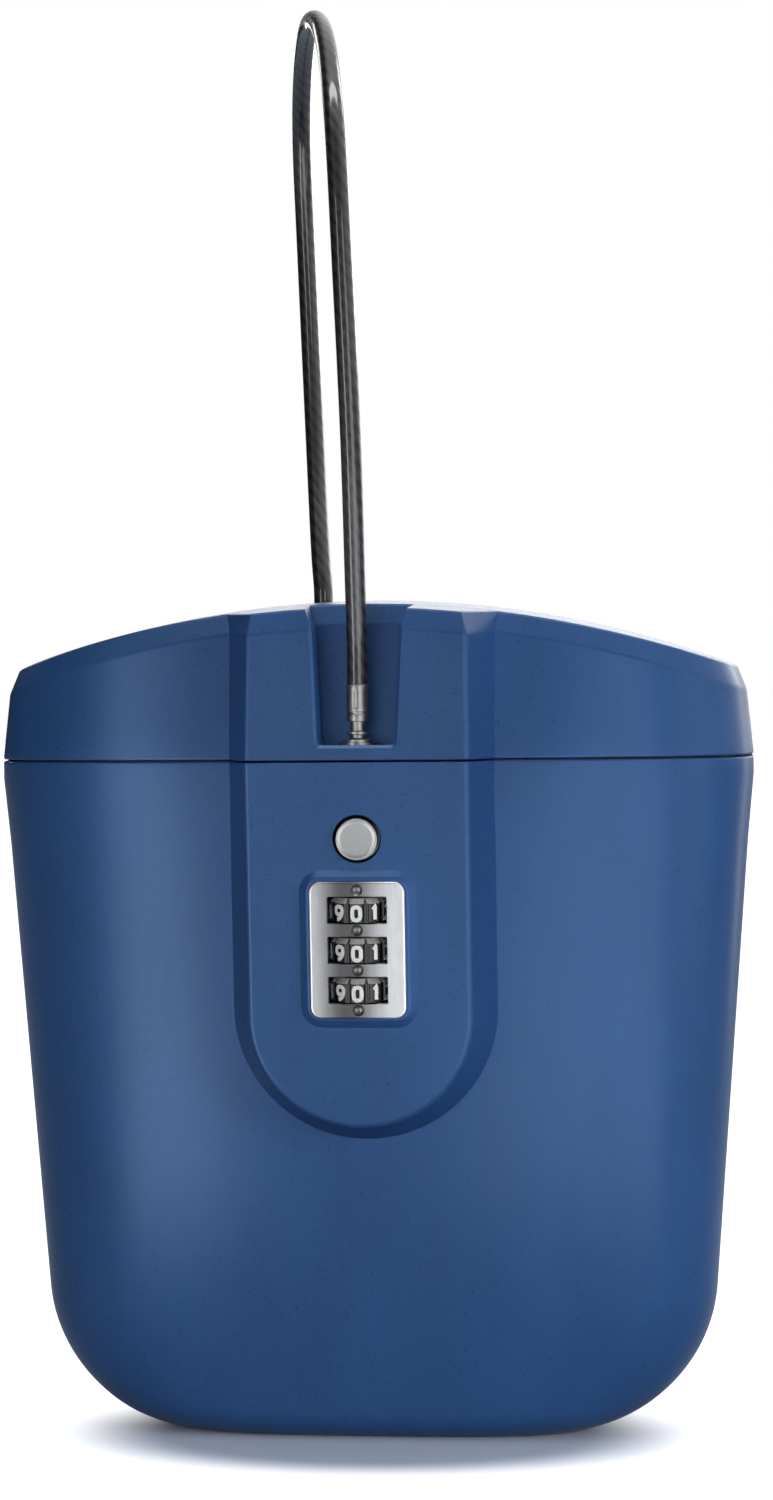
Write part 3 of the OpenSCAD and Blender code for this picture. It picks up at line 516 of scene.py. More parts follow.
def body_moulding(s):
    """The body: bucket, raised panel, pad and knuckles joined, and the hollows, holes and seal groove cut."""
    flat = lambda p: on_panel(p, s)
    piece = bucket("body_moulding", s, 0, 0, np.vstack([parting_edge(s.rim_z, -1, 5)[:-1], [1.0, s.rim_z]]))
    back, beside, into, web_drop = s.body_depth / 2, 0.3, 2, 12
    web_z, web_foot = s.rim_z - 0.05, s.body_height - web_drop
    web = [[back - s.wall - into, web_z], [s.hinge_y, web_z],
           [s.hinge_y + 0.6 * s.knuckle_radius, s.body_height - 0.78 * s.knuckle_radius],
           [back - 1, web_foot], [back - s.wall - into, web_foot]]
    joined = [raised_panel("panel", s), plate_pad("pad", s)]
    for k, x in enumerate([-s.hinge_half, s.lid_knuckle + beside]):
        joined.append(knuckle("knuckle%d" % k, s, x, x + s.hinge_half - s.lid_knuckle - beside, web))
    combine(piece, joined, "UNION")

    # The hollow behind the panel keeps the wall under the rim, and a boss round each of the lock's screws
    hollow = prism("hollow", u_outline(s.panel_half - s.panel_wall, 5, s), s.panel_wall, 24, flat)
    kept = [rim_ring("band", s, -1, s.wall + 2, s.rim_z - 8, s.rim_z + 10)]
    kept += [pin("boss", x, z, 0, s.panel_wall + 5, 3, flat, 32) for x, z in lock_screws(s)]
    combine(hollow, kept, "DIFFERENCE")
    groove_half, groove_deep = 0.7, 1.8
    bay_low = s.dial_zs["bottom"] - s.dial_height / 2 - 2.25
    bay_high = s.dial_zs["top"] + s.dial_height / 2 + 1.4
    cuts = [bucket("inside", s, s.wall, s.floor, np.array([[0, s.rim_z - 0.5], [0, s.rim_z + 2]])), hollow,
            rim_ring("groove", s, s.wall / 2 - groove_half, s.wall / 2 + groove_half, s.rim_z - groove_deep,
                     s.rim_z + 1),
            pin("button_hole", 0, -s.button_low, -2, s.panel_wall + 2, s.button_radius + s.button_gap, flat, 96),
            block("bay", (-s.dial_radius - 0.9, -s.pad_thickness - 1, bay_low),
                  (s.dial_radius + 2.9, s.panel_wall + 1, bay_high), flat),
            rod("bore", -s.hinge_half - 1, s.hinge_half + 1, s.hinge_y, s.body_height, s.pin_radius + PIN_PLAY)]
    cuts += [pin("pilot", x, z, 1.2, 12, PILOT, flat, 24) for x, z in lock_screws(s)]
    return combine(piece, cuts, "DIFFERENCE")


# ---------------------------------------------------------------- lid

def top_height(x, y, s):
    """Height of the lid's top: an arch of the arch's radius along x, less the crown times the square of y over its
    reach."""
    arch = np.sqrt(s.arch_radius ** 2 - np.square(x))
    return s.top_height - s.arch_radius + arch - s.crown * np.square(y / CROWN_REACH)


def bevel_line(s):
    """Bevel round the lid's top with its two edges rounded, as pairs of inset and drop under the top."""
    reach, lower_cut, upper_cut = 3, 0.5, 0.42
    return soften([[0, s.bevel_height + reach], [0, s.bevel_height], [s.bevel_inset, 0], [s.bevel_inset + reach, 0]],
                  [0, lower_cut, upper_cut], 5)[1:-1]


def lid_rows(s, insets, drops):
    """Rings of the lid's wall under the top surface: each ring is the squared ellipse at its own height, moved in by
    its inset, and its height is the top's less its drop. Each depends on the other, so both are worked out in turn."""
    insets, drops = insets[:, None], drops[:, None]
    unit = oval(1.0, 1.0, s.squareness, s.outline_points)
    z = np.full((len(insets), len(unit)), s.body_height + 22.0)
    for _ in range(8):
        a, b = half_sizes(z, s)
        x, y = (a - insets) * unit[None, :, 0], (b - insets) * unit[None, :, 1]
        z = top_height(x, y, s) - drops
    return np.stack([x, y, z], -1)


def lid_dome(name, s, thick, foot, shoulder, rings):
    """Arched lid, or the hollow a wall's thickness inside it: from the foot's pairs of inset and height, the wall rises
    to the shoulder's pairs of inset and drop under the top, and the top's rings shrink to the middle."""
    upper = lid_rows(s, shoulder[:, 0] + thick, shoulder[:, 1] + thick)
    a, b = half_sizes(s.lid_z, s)
    foot = stacked_ovals(a - thick - foot[:, 0], b - thick - foot[:, 0], foot[:, 1], s)
    share = np.linspace(0, 1, 6)[1:-1, None, None]
    wall = foot[-1] * (1 - share) + upper[0] * share
    shrink = np.concatenate([[0.985], np.linspace(1, 0, rings)[1:-1]])[:, None]
    x, y = shrink * upper[-1, :, 0], shrink * upper[-1, :, 1]
    roof = np.stack([x, y, top_height(x, y, s) - thick], -1)
    pole = np.broadcast_to(np.array([0, 0, s.top_height - thick]), roof[:1].shape)
    grid = np.concatenate([foot, wall, upper, roof, pole])
    return solid(name, [ring_round(grid)], [grid[0]])


def lid_panel(name, s):
    """Raised panel of the lid: a ring of face, rounded edges, slanted sides and back is carried up from the parting
    line. It leans back with height, moves in over the bevel, and is closed by the lid's top surface."""
    side, normal = panel_side(s)
    normal[-1] = 0
    n, m, flip = 25, len(side), np.array([-1, 1])
    across = np.linspace(-1, 1, n)
    front = np.column_stack([across * side[0, 0], np.zeros(n)])
    back = np.column_stack([-across * side[-1, 0], np.full(n, s.panel_deep)])
    ring = np.concatenate([front, side[1:], back[1:], (side * flip)[::-1][1:-1]])
    out = np.concatenate([np.tile([0, -1], (n, 1)), normal[1:], np.zeros((n - 1, 2)), (normal * flip)[::-1][1:-1]])

    def station(inset, z=None, drop=0):
        """The ring moved in by the inset, at height z or at the drop under the top, where height and lean depend on
        each other and are worked out in turn."""
        narrowing = 0.25
        p = ring - inset * out
        height = np.full(len(p), s.body_height + 28.0 if z is None else z)
        for _ in range(6):
            lean = (height - s.body_height) * math.tan(s.panel_lean)
            x = p[:, 0] - narrowing * lean * np.clip(p[:, 0] / s.panel_half, -1, 1)
            y = -s.panel_y + lean + p[:, 1]
            if z is None:
                height = top_height(x, y, s) - drop
        return np.column_stack([x, y, height])
    grid = np.stack([station(i, z=z) for i, z in parting_edge(s.lid_z, 1, 4)[-2:0:-1]]
                    + [station(i, drop=d) for i, d in bevel_line(s)])
    last = grid[-1]
    rights, lefts = last[n - 1:n - 1 + m], np.concatenate([last[:1], last[::-1][:m - 1]])
    t = np.linspace(0, 1, n)[None, :, None]
    roof = lefts[:, None] * (1 - t) + rights[:, None] * t
    roof[:, 1:-1, 2] = top_height(roof[:, 1:-1, 0], roof[:, 1:-1, 1], s)
    roof[0], roof[-1] = last[:n], last[m + n - 2:m + 2 * n - 2][::-1]
    return solid(name, [ring_round(grid), roof], [grid[0]])


def channel_cutter(name, s):
    """The cable channel: its front view is carried back through the panel, and opens out evenly over the last part to
    the face, which makes a narrow bevel round its edge. Above the lid's own bevel it opens out as that does."""
    up, above = s.channel_top - s.floor_z, 9
    flare = above * s.bevel_inset / s.bevel_height
    foot_strip, foot_cut, top_cut = 1.6, 1.3, 0.5
    bevel_deep, bevel_wide, before, through = 0.45, 0.62, 3, 26

    def front(grow):
        w0 = s.channel_width / 2 + grow
        w1 = w0 + up * math.tan(s.channel_slant)
        half = soften([[w0 - foot_strip, s.floor_z - grow], [w0, s.floor_z - grow], [w1, s.channel_top],
                       [w1 + flare, s.channel_top + above]], [0, foot_cut, top_cut], 6)
        return np.concatenate([half * [-1, 1], half[::-1]])[::-1]
    rows = []
    for depth, grow in ((-before, bevel_wide * 2), (0, bevel_wide), (bevel_deep, 0), (6, 0), (through, 0)):
        outline = front(grow)
        lean = (outline[:, 1] - s.body_height) * math.tan(s.panel_lean)
        rows.append(np.column_stack([outline[:, 0], -s.panel_y + lean + depth, outline[:, 1]]))
    return tube(name, np.stack(rows))


def panel_hollow(name, s, sign):
    """Hollow of one half of the lid's panel beside the channel, open below."""
    wall = 2.4
    x0 = sign * (s.channel_width / 2 + wall + (s.channel_top - s.floor_z) * math.tan(s.channel_slant))
    x1 = sign * (s.panel_half - wall)
    rows = []
    for z in (s.lid_z - 1, top_height(s.panel_half, s.panel_y, s) - s.bevel_height - 1):
        near = -s.panel_y + (z - s.body_height) * math.tan(s.panel_lean) + s.panel_wall
        far = -float(half_sizes(z, s)[1]) - 1
        rows.append(np.array([[x0, near, z], [x1, near, z], [x1, far, z], [x0, far, z]]))
    return tube(name, np.stack(rows))


def lid_moulding(s):
    """The lid: arched shell, raised panel with its channel, bosses and knuckle."""
    panel = combine(lid_panel("lid_moulding", s),
                    [channel_cutter("channel", s)] + [panel_hollow("side", s, k) for k in (-1, 1)], "DIFFERENCE")
    foot = np.vstack([[1.0, s.lid_z], parting_edge(s.lid_z, 1, 5)[-2:0:-1]])
    hollow = lid_dome("hollow", s, s.wall, np.array([[0, s.lid_z - 1]]),
                      np.array([[0, s.bevel_height + 2], [s.bevel_inset, 0]]), 6)
    shell = combine(lid_dome("dome", s, 0, foot, bevel_line(s), 16), [hollow], "DIFFERENCE")

    # A boss for each screw of the inner cover and one for the cable's foot, and the knuckle of the hinge
    boss_z, boss_radius, stop_boss = s.lid_z + 2.3, 3.2, 6
    screws = [(i * (s.body_width / 2 - 26), j * (s.body_depth / 2 - 24.5)) for i in (-1, 1) for j in (-1, 1)]
    x, y = s.stop
    bosses = [post("boss", i, j, boss_z, float(top_height(i, j, s)) - 1.5, boss_radius, 32) for i, j in screws]
    bosses.append(post("boss", x, y, s.stop_z + 1.5, float(top_height(x, y + 4, s)) - 0.8, stop_boss))
    back, web_top = s.body_depth / 2, s.body_height + 9.6
    bosses.append(knuckle("hinge", s, -s.lid_knuckle, s.lid_knuckle, [
        [back - s.wall + 0.2, s.lid_z + 0.05], [s.hinge_y, s.lid_z + 0.05],
        [s.hinge_y + 0.3 * s.knuckle_radius, s.body_height + 0.94 * s.knuckle_radius],
        [back - 1.5, web_top], [back - s.wall + 0.2, web_top]]))
    combine(panel, [shell] + bosses, "UNION")

    # Holes of the hinge pin, the peg's bushing, the cable, its rubber bush and its stop, and the screws' pilots
    seat = float(top_height(x - 5, y + 5, s)) - 0.1
    bushing, cable, grommet, stop = 3.2, 3.5, 5.1, 4.8
    cuts = [rod("bore", -s.lid_knuckle - 1, s.lid_knuckle + 1, s.hinge_y, s.body_height, s.pin_radius + PIN_PLAY),
            post("bushing", *s.peg, s.body_height, s.floor_z + 1, bushing),
            post("cable", x, y, s.stop_z, s.stop_z + 20, cable),
            post("grommet", x, y, seat, seat + 10, grommet),
            post("inner", x, y, s.stop_z - 5, s.stop_z + 1.5, stop)]
    cuts += [post("pilot", i, j, boss_z - 1, boss_z + 9, PILOT, 24) for i, j in screws]
    return combine(panel, cuts, "DIFFERENCE")


# ---------------------------------------------------------------- lock

def face_plate(s):
    """Face plate: a stamped sheet with a rounded rim, three windows with rolled edges and four punched dimples."""
    front, rim_cut, corner = -s.pad_thickness - s.plate_thickness, 0.5, 0.15
    rim = soften([[0, front + s.plate_thickness], [0, front], [-4, front]], [0, rim_cut], 6)[:-1]
    piece = round_rect_stack("face_plate_sheet", s, s.plate_width, s.plate_height, s.plate_corner,
                             np.vstack([rim, [-1.2, front]]), -s.dials_low)
    rolled = np.array([[0, s.plate_thickness + 1], [0, 0.45], [0.06, 0.22], [0.2, 0.05], [0.5, -0.4]]) + [0, front]
    cuts = [round_rect_stack("window", s, s.window_width, s.window_height, corner, rolled,
                             k * s.dial_pitch - s.dials_low) for k in (-1, 0, 1)]
    ball, over = 1.55, 0.9
    a = np.linspace(0, np.pi, 15)
    dimple = facing(turned(np.column_stack([ball * np.sin(a), -ball * np.cos(a)]), 40))
    for k in (-1.5, -0.5, 0.5, 1.5):
        placed = on_panel(dimple + np.array([0, front - over, k * s.dial_pitch - s.dials_low]), s)
        cuts.append(solid("dimple", [ring_round(placed)]))
    return combine(piece, cuts, "DIFFERENCE")


def dial_wheel(name, s, z):
    """Dial wheel: radius goes round as the wheel's, less ten shallow finger notches, each an arc of a small circle that
    lies just outside the rim, and the upper edge is a cone."""
    h, r, cone, bore, count = s.dial_height, s.dial_radius, s.dial_cone, 3.6, 720
    profile = soften([[bore, 0], [r, 0], [r, h - cone], [r - cone, h], [bore, h]], [0, 0.25, 0.12, 0.12], 3)
    profile = np.concatenate([profile, profile[:1]])
    t = np.linspace(0, 2 * np.pi, count, endpoint=False)
    half_step = np.pi / DIGITS
    off = half_step - np.abs((t + half_step + np.pi / 2) % (2 * half_step) - half_step)
    middle, small = r + 0.35, 0.8
    inside = np.maximum(small ** 2 - (middle * np.sin(off)) ** 2, 0)
    notch = np.where(middle * np.sin(off) < small, middle * np.cos(off) - np.sqrt(inside), r)
    radius = np.minimum(profile[:, :1], np.minimum(notch, r)[None])
    grid = rings_about(radius, profile[:, 1:] + z - h / 2, count, (0, s.dial_y))
    return solid(name, [ring_round(on_panel(grid, s))])


def arc(cx, cy, rx, ry, start, stop, squareness=2.5, steps=40):
    """Arc of a squared ellipse from one angle to another, in degrees."""
    t = np.radians(np.linspace(start, stop, steps))
    return np.column_stack([cx + rx * signed_power(np.cos(t), squareness),
                            cy + ry * signed_power(np.sin(t), squareness)])


def digit_lines(number):
    """Middle lines of a digit's strokes in a box from -1 to 1 both ways: straight runs and arcs of squared ellipses."""
    line = lambda *points: np.array(points, float)
    return {
        0: [arc(0, 0, 1, 1, 0, 360, 3)],
        1: [line((-0.55, 0.55), (0.1, 1), (0.1, -1))],
        2: [np.concatenate([arc(0, 0.42, 1, 0.58, 165, -25), line((-1, -1), (1, -1))])],
        3: [arc(0, 0.5, 0.9, 0.5, 155, -80), arc(0, -0.48, 1, 0.52, 80, -155)],
        4: [line((0.25, 1), (-1, -0.4), (1, -0.4)), line((0.45, 0.2), (0.45, -1))],
        5: [np.concatenate([line((0.85, 1), (-0.75, 1), (-0.85, 0.12)), arc(0, -0.36, 1, 0.64, 130, -150)])],
        6: [arc(0, -0.4, 1, 0.6, 0, 360, 2.8), arc(0.75, -0.3, 1.75, 1.3, 175, 95, 2)],
        7: [line((-1, 1), (1, 1), (-0.15, -1))],
        8: [arc(0, 0.52, 0.85, 0.48, 0, 360, 2.8), arc(0, -0.44, 1, 0.56, 5, 365, 2.8)],
        9: [arc(0, 0.4, 1, 0.6, 0, 360, 2.8), arc(-0.75, 0.3, 1.75, 1.3, -5, -85, 2)],
    }[number]


def stroke(path, half):
    """Points evenly along a digit's path, the step from each to the edge of the stroke, and whether the path closes on
    itself. The step is square to the mean of the directions before and after the point, and longer where they turn."""
    gaps = np.linalg.norm(np.diff(path, axis=0), axis=1)
    along = np.concatenate([[0], np.cumsum(gaps)])
    keep = np.concatenate([[True], gaps > 1e-6])
    spaced = np.linspace(0, along[-1], max(6, int(along[-1] / 0.12)))
    t = np.unique(np.round(np.concatenate([spaced, along[keep]]), 1))
    t[-1] = along[-1]
    p = np.column_stack([np.interp(t, along[keep], path[keep, axis]) for axis in (0, 1)])
    loop = np.linalg.norm(p[0] - p[-1]) < 1e-6
    ahead = np.diff(p, axis=0)
    ahead /= np.linalg.norm(ahead, axis=1, keepdims=True)
    before = np.vstack([ahead[-1:] if loop else ahead[:1], ahead])
    after = np.vstack([ahead, ahead[:1] if loop else ahead[-1:]])
    mean = before + after
    mean /= np.maximum(np.linalg.norm(mean, axis=1, keepdims=True), 1e-9)
    spread = half / np.maximum(np.sum(mean * after, axis=1, keepdims=True), 0.5)
    return p, np.column_stack([-mean[:, 1], mean[:, 0]]) * spread, loop


def digit_band(name, s, z):
    """The ten digits of a wheel: each stroke is a flat ribbon that follows its middle line and is wrapped round the
    wheel, so a point's angle is its digit's tenth of a turn plus its distance along divided by the radius. A second
    stroke lies a hair over the first."""
    half_box = np.array([s.digit_width - s.digit_stroke, s.digit_height - s.digit_stroke]) / 2
    centre = z - s.dial_height / 2 + 0.25 + s.digit_height / 2
    proud, crown, sunk, hair = 0.05, 0.06, -0.08, 0.004
    grids, caps = [], []
    for number in range(DIGITS):
        for k, path in enumerate(digit_lines(number)):
            p, side, loop = stroke(path * half_box, s.digit_stroke / 2)
            rows = []
            for shift, rise in ((-1, proud), (0, crown), (1, proud), (1, sunk), (-1, sunk)):
                q = p + shift * side
                a = 2 * math.pi / DIGITS * number + q[:, 0] / s.dial_radius
                r = s.dial_radius + rise + hair * k
                rows.append(np.column_stack([r * np.sin(a), s.dial_y - r * np.cos(a), centre + q[:, 1]]))
            grid = on_panel(np.stack(rows, 1), s)
            grids.append(ring_round(grid))
            if not loop:
                caps += [grid[0], grid[-1]]
    return solid(name, grids, caps)


def push_button(s):
    """Push button: a turned cap with a rounded, raised rim and a faintly hollow face, its flange behind the panel and
    its stem."""
    r, out, w = s.button_radius, -s.button_out, s.panel_wall
    flange, thick, stem, end = 6, 1.2, 1.9, 10.6
    face = np.column_stack([np.linspace(0, r - 0.62, 8), out + 0.14 - 0.05 * np.linspace(0, 1, 8) ** 2])
    back = w + s.seat_gap
    rim = soften([face[-1], [r - 0.46, out], [r, out], [r, back]], [0, 0.1, 0.24], 6)[1:-1]
    behind = soften([[r, back], [flange, back], [flange, back + thick], [stem, back + thick], [stem, end], [0, end]],
                    [0, 0.15, 0.15, 0, 0.2], 3)
    grid = facing(turned(np.concatenate([face, rim, behind]), 128)) + np.array([0, 0, -s.button_low])
    return solid("button_cap", [ring_round(on_panel(grid, s))])


def coil(name, place, radius, long, turns, wire):
    """Coil spring: the middle of its round wire is at the radius times the cosine and sine of its angle, and rises
    evenly with it."""
    a = np.linspace(0, 2 * np.pi * turns, 24 * turns + 1)[:, None]
    b = np.linspace(0, 2 * np.pi, 10, endpoint=False)
    out, rise = radius + wire / 2 * np.cos(b), wire / 2 * np.sin(b) + wire / 2 + (long - wire) * a / a[-1]
    return tube(name, place(np.stack([out * np.cos(a), out * np.sin(a), rise], -1)))


def button_coil(s):
    """Spring behind the button, with the middle of its fixed end and its length."""
    low, high, radius = s.panel_wall + s.seat_gap + 1.25, 7.95, 3.2
    place = lambda p: on_panel(np.stack([p[..., 0], low + p[..., 2], -s.button_low - p[..., 1]], -1), s)
    long = high - low
    return coil("button_coil", place, radius, long, 3, s.spring_wire), place(np.array([0, 0, long])), long


def latch_coil(s):
    """Spring beside the latch, with the middle of its fixed end and its length."""
    beside, deep, radius, wire, long = 4.45, s.panel_wall + s.seat_gap + 3.1, 0.65, 0.4, 5.0
    place = lambda p: on_panel(np.stack([beside + p[..., 2], deep + p[..., 1], -s.latch_low - p[..., 0]], -1), s)
    return coil("latch_coil", place, radius, long, 5, wire), place(np.array([0, 0, long])), long


# ---------------------------------------------------------------- cable

def cable_path(s, steps=12):
    """Middle line of the cable, from the ferrule to inside the lid: between two of the CAD source's points it is a
    cubic, whose direction at each point is the one from the point before to the point after."""
    front = [[0, 0, 0], [0, -0.5, 9], [0, -3, 22], [0, -9, 52], [-1, -12, 86], [-3, -8, 120], [-7, 9, 139.5],
             [-13, 35, 147.5]]
    back = [[-2, -12, 132.5], [-5, 7, 118], [-5, 14, 92], [-3, 11, 48], [-1, 3, 22], [0, 0, 12], [0, 0, 6], [0, 0, 0]]
    p = np.concatenate([np.array(front) + [*s.peg, s.cable_z], np.array(back) + [*s.stop, s.stop_z]])
    q = np.concatenate([p[:1], p, p[-1:]])
    t = (np.arange(steps) / steps)[None, :, None]
    a, b, c, d = q[:-3, None], q[1:-2, None], q[2:-1, None], q[3:, None]
    line = 0.5 * (2 * b + (c - a) * t + (2 * a - 5 * b + 4 * c - d) * t ** 2 + (3 * b - a - 3 * c + d) * t ** 3)
    return np.concatenate([line.reshape(-1, 3), p[-1:]])


def cable_loop(s):
    """The coated cable, with its path and its length in metres: circles carried along its middle line, each square to
    it, with u once round and v in metres along."""
    path, count = cable_path(s), 33
    ahead = np.gradient(path, axis=0)
    ahead[0], ahead[-1] = (0, 0, 1), (0, 0, -1)
    ahead /= np.linalg.norm(ahead, axis=1, keepdims=True)
    u = np.cross(np.array([1, 0, 0.2]), ahead)
    u /= np.linalg.norm(u, axis=1, keepdims=True)
    v = np.cross(ahead, u)
    a = np.linspace(0, 2 * np.pi, count)[None, :, None]
    grid = path[:, None] + s.cable_diameter / 2 * (np.cos(a) * u[:, None] + np.sin(a) * v[:, None])
    along = np.concatenate([[0], np.cumsum(np.linalg.norm(np.diff(path, axis=0), axis=1))]) * MM
    uv = np.stack([np.broadcast_to(np.linspace(0, 1, count), grid.shape[:2]),
                   np.broadcast_to(along[:, None], grid.shape[:2])], -1)
    return solid("cable_loop", [grid], [grid[0, :-1], grid[-1, :-1]], [uv]), path * MM, float(along[-1])


def ferrule(s):
    """Crimped ferrule: a turned sleeve whose radius loses a rounding at both ends, a shallow six-sided crimp along its
    middle and a groove near its foot, which is a bell curve of the height."""
    r, h, cut = s.ferrule_diameter / 2 + 0.05, s.ferrule_length, 0.3
    foot = soften([[r - 0.35, 0], [r, 0], [r, 9]], [0, cut], 4)[1:-1, 1]
    z = np.concatenate([[0], foot, np.linspace(0.6, h - 0.6, 60), [h - 0.3, h - 0.1, h]])
    base = np.full(len(z), r)
    for end in (z, h - z):
        base = np.minimum(base, r - cut + np.sqrt(np.clip(cut ** 2 - (cut - np.clip(end, 0, cut)) ** 2, 0, 1)))
    groove_z, groove_half, groove_deep, lobe_deep, fade = 1.9, 0.28, 0.22, 0.1, 0.5
    base -= groove_deep * np.exp(-((z - groove_z) / groove_half) ** 2)
    crimp = np.clip((z - 2.6) / fade, 0, 1) * np.clip((h - 0.9 - z) / fade, 0, 1)
    t = np.linspace(0, 2 * np.pi, 96, endpoint=False)
    lobes = lobe_deep * (1 - np.abs(np.cos(3 * t + 0.4)) ** 0.7)
    radius = base[:, None] - crimp[:, None] * lobes[None]
    return tube("ferrule_sleeve", rings_about(radius, z[:, None] + s.cable_z - h, 96, s.peg))


# ---------------------------------------------------------------- finishes

def fill(tree, node, inputs):
    """Sets a node's inputs to values, or links them to sockets."""
    for key, value in inputs.items():
        if isinstance(value, bpy.types.NodeSocket):
            tree.links.new(value, node.inputs[key])
        else:
            node.inputs[key].default_value = value


def add(tree, kind, inputs=None, **settings):
    """A shader node with its settings, and its inputs set to values or linked to sockets."""
    node = tree.nodes.new(kind)
    for key, value in settings.items():
        setattr(node, key, value)
    fill(tree, node, inputs or {})
    return node


def start_material(name):
    """A new material with an empty tree, its shader and its output."""
    material = bpy.data.materials.new(name)
    material.use_nodes = True
    tree = material.node_tree
    tree.nodes.clear()
    shader = add(tree, "ShaderNodeBsdfPrincipled")
    add(tree, "ShaderNodeOutputMaterial", {"Surface": shader.outputs["BSDF"]})
    return material, tree, shader


def rgba(value, gain=1.0):
    """A colour with its alpha, made lighter or darker by a gain."""
    return tuple(min(1.0, c * gain) for c in value[:3]) + (1.0,)


def every(millimetres):
    """The scale of a pattern that repeats at a real size: one over it, in metres."""
    return 1 / (millimetres * MM)


def moulded_abs(colours):
    """ABS, injection moulded against a fine spark-eroded tool: a satin skin with a grain of about 0.4 mm, drawn at
    0.9 mm so that it shows, and faint flow marks 17 mm wide, drawn out along the height."""
    material, tree, shader = start_material("moulded_abs")
    where = add(tree, "ShaderNodeTexCoord").outputs["Object"]
    drawn = add(tree, "ShaderNodeMapping", {"Vector": where, "Location": (0, 0, -0.028), "Scale": (1, 1, 0.35)})
    grain = add(tree, "ShaderNodeTexNoise",
                {"Vector": where, "Scale": every(0.909), "Detail": 2, "Roughness": 0.6}).outputs["Fac"]
    flow = add(tree, "ShaderNodeTexNoise", {"Vector": drawn.outputs["Vector"], "Scale": every(16.667), "Detail": 3,
                                            "Roughness": 0.55}).outputs["Fac"]
    both = add(tree, "ShaderNodeMath", {0: grain, 1: 0.6, 2: flow}, operation="MULTIPLY_ADD").outputs[0]
    part = add(tree, "ShaderNodeMapRange", {"Value": both, "From Min": 0.55, "From Max": 1.05}).outputs["Result"]
    tint = add(tree, "ShaderNodeMix", {0: part, 6: rgba(colours.shell, 0.89), 7: rgba(colours.shell, 1.12)},
               data_type="RGBA").outputs[2]
    gloss = add(tree, "ShaderNodeMapRange", {"Value": grain, "From Min": 0.3, "From Max": 0.7, "To Min": 0.27,
                                             "To Max": 0.36}).outputs["Result"]
    bump = add(tree, "ShaderNodeBump", {"Strength": 0.05, "Distance": 0.1 * MM, "Height": grain}).outputs["Normal"]
    fill(tree, shader, {"Base Color": tint, "Roughness": gloss, "Normal": bump, "IOR": 1.53,
                        "Specular IOR Level": 0.38, "Specular Tint": rgba(linear("C4E1FF"))})
    return material


def brushed_nickel(colours):
    """Stamped steel with a satin nickel plate, brushed along its height: strokes 0.12 mm wide, drawn at 0.3 mm so that
    they show. A painted reflection makes the colour darker along the plate's middle and bright towards its long
    edges."""
    material, tree, shader = start_material("brushed_nickel")
    middle, dark_half, bright_half = -2.3 * MM, 0.8 * MM, 10.5 * MM
    where = add(tree, "ShaderNodeTexCoord").outputs["Object"]
    drawn = add(tree, "ShaderNodeMapping", {"Vector": where, "Scale": (1, 1, 0.03)}).outputs["Vector"]
    strokes = add(tree, "ShaderNodeTexNoise",
                  {"Vector": drawn, "Scale": every(0.303), "Detail": 3, "Roughness": 0.6}).outputs["Fac"]
    across = add(tree, "ShaderNodeSeparateXYZ", {0: where}).outputs["X"]
    across = add(tree, "ShaderNodeMath", {0: across, 1: -middle}, operation="ADD").outputs[0]
    across = add(tree, "ShaderNodeMath", {0: across}, operation="ABSOLUTE").outputs[0]
    # Painted reflection: the colour falls along the plate's middle and rises towards its long edges
    part = add(tree, "ShaderNodeMapRange", {"Value": across, "From Min": dark_half, "From Max": bright_half},
               interpolation_type="SMOOTHSTEP").outputs["Result"]
    painted_reflection = add(tree, "ShaderNodeMix", {0: part, 6: rgba(colours.plate, 0.17), 7: rgba(colours.plate)},
               data_type="RGBA").outputs[2]
    fine = add(tree, "ShaderNodeMapRange", {"Value": strokes, "From Min": 0.25, "From Max": 0.75, "To Min": 0.88,
                                            "To Max": 1.06}).outputs["Result"]
    tint = add(tree, "ShaderNodeVectorMath", {0: painted_reflection, "Scale": fine}, operation="SCALE").outputs["Vector"]
    gloss = add(tree, "ShaderNodeMapRange", {"Value": strokes, "To Min": 0.3, "To Max": 0.44}).outputs["Result"]
    bump = add(tree, "ShaderNodeBump", {"Strength": 0.12, "Distance": 0.04 * MM, "Height": strokes}).outputs["Normal"]
    fill(tree, shader, {"Base Color": tint, "Roughness": gloss, "Normal": bump, "Metallic": 1})
    return material


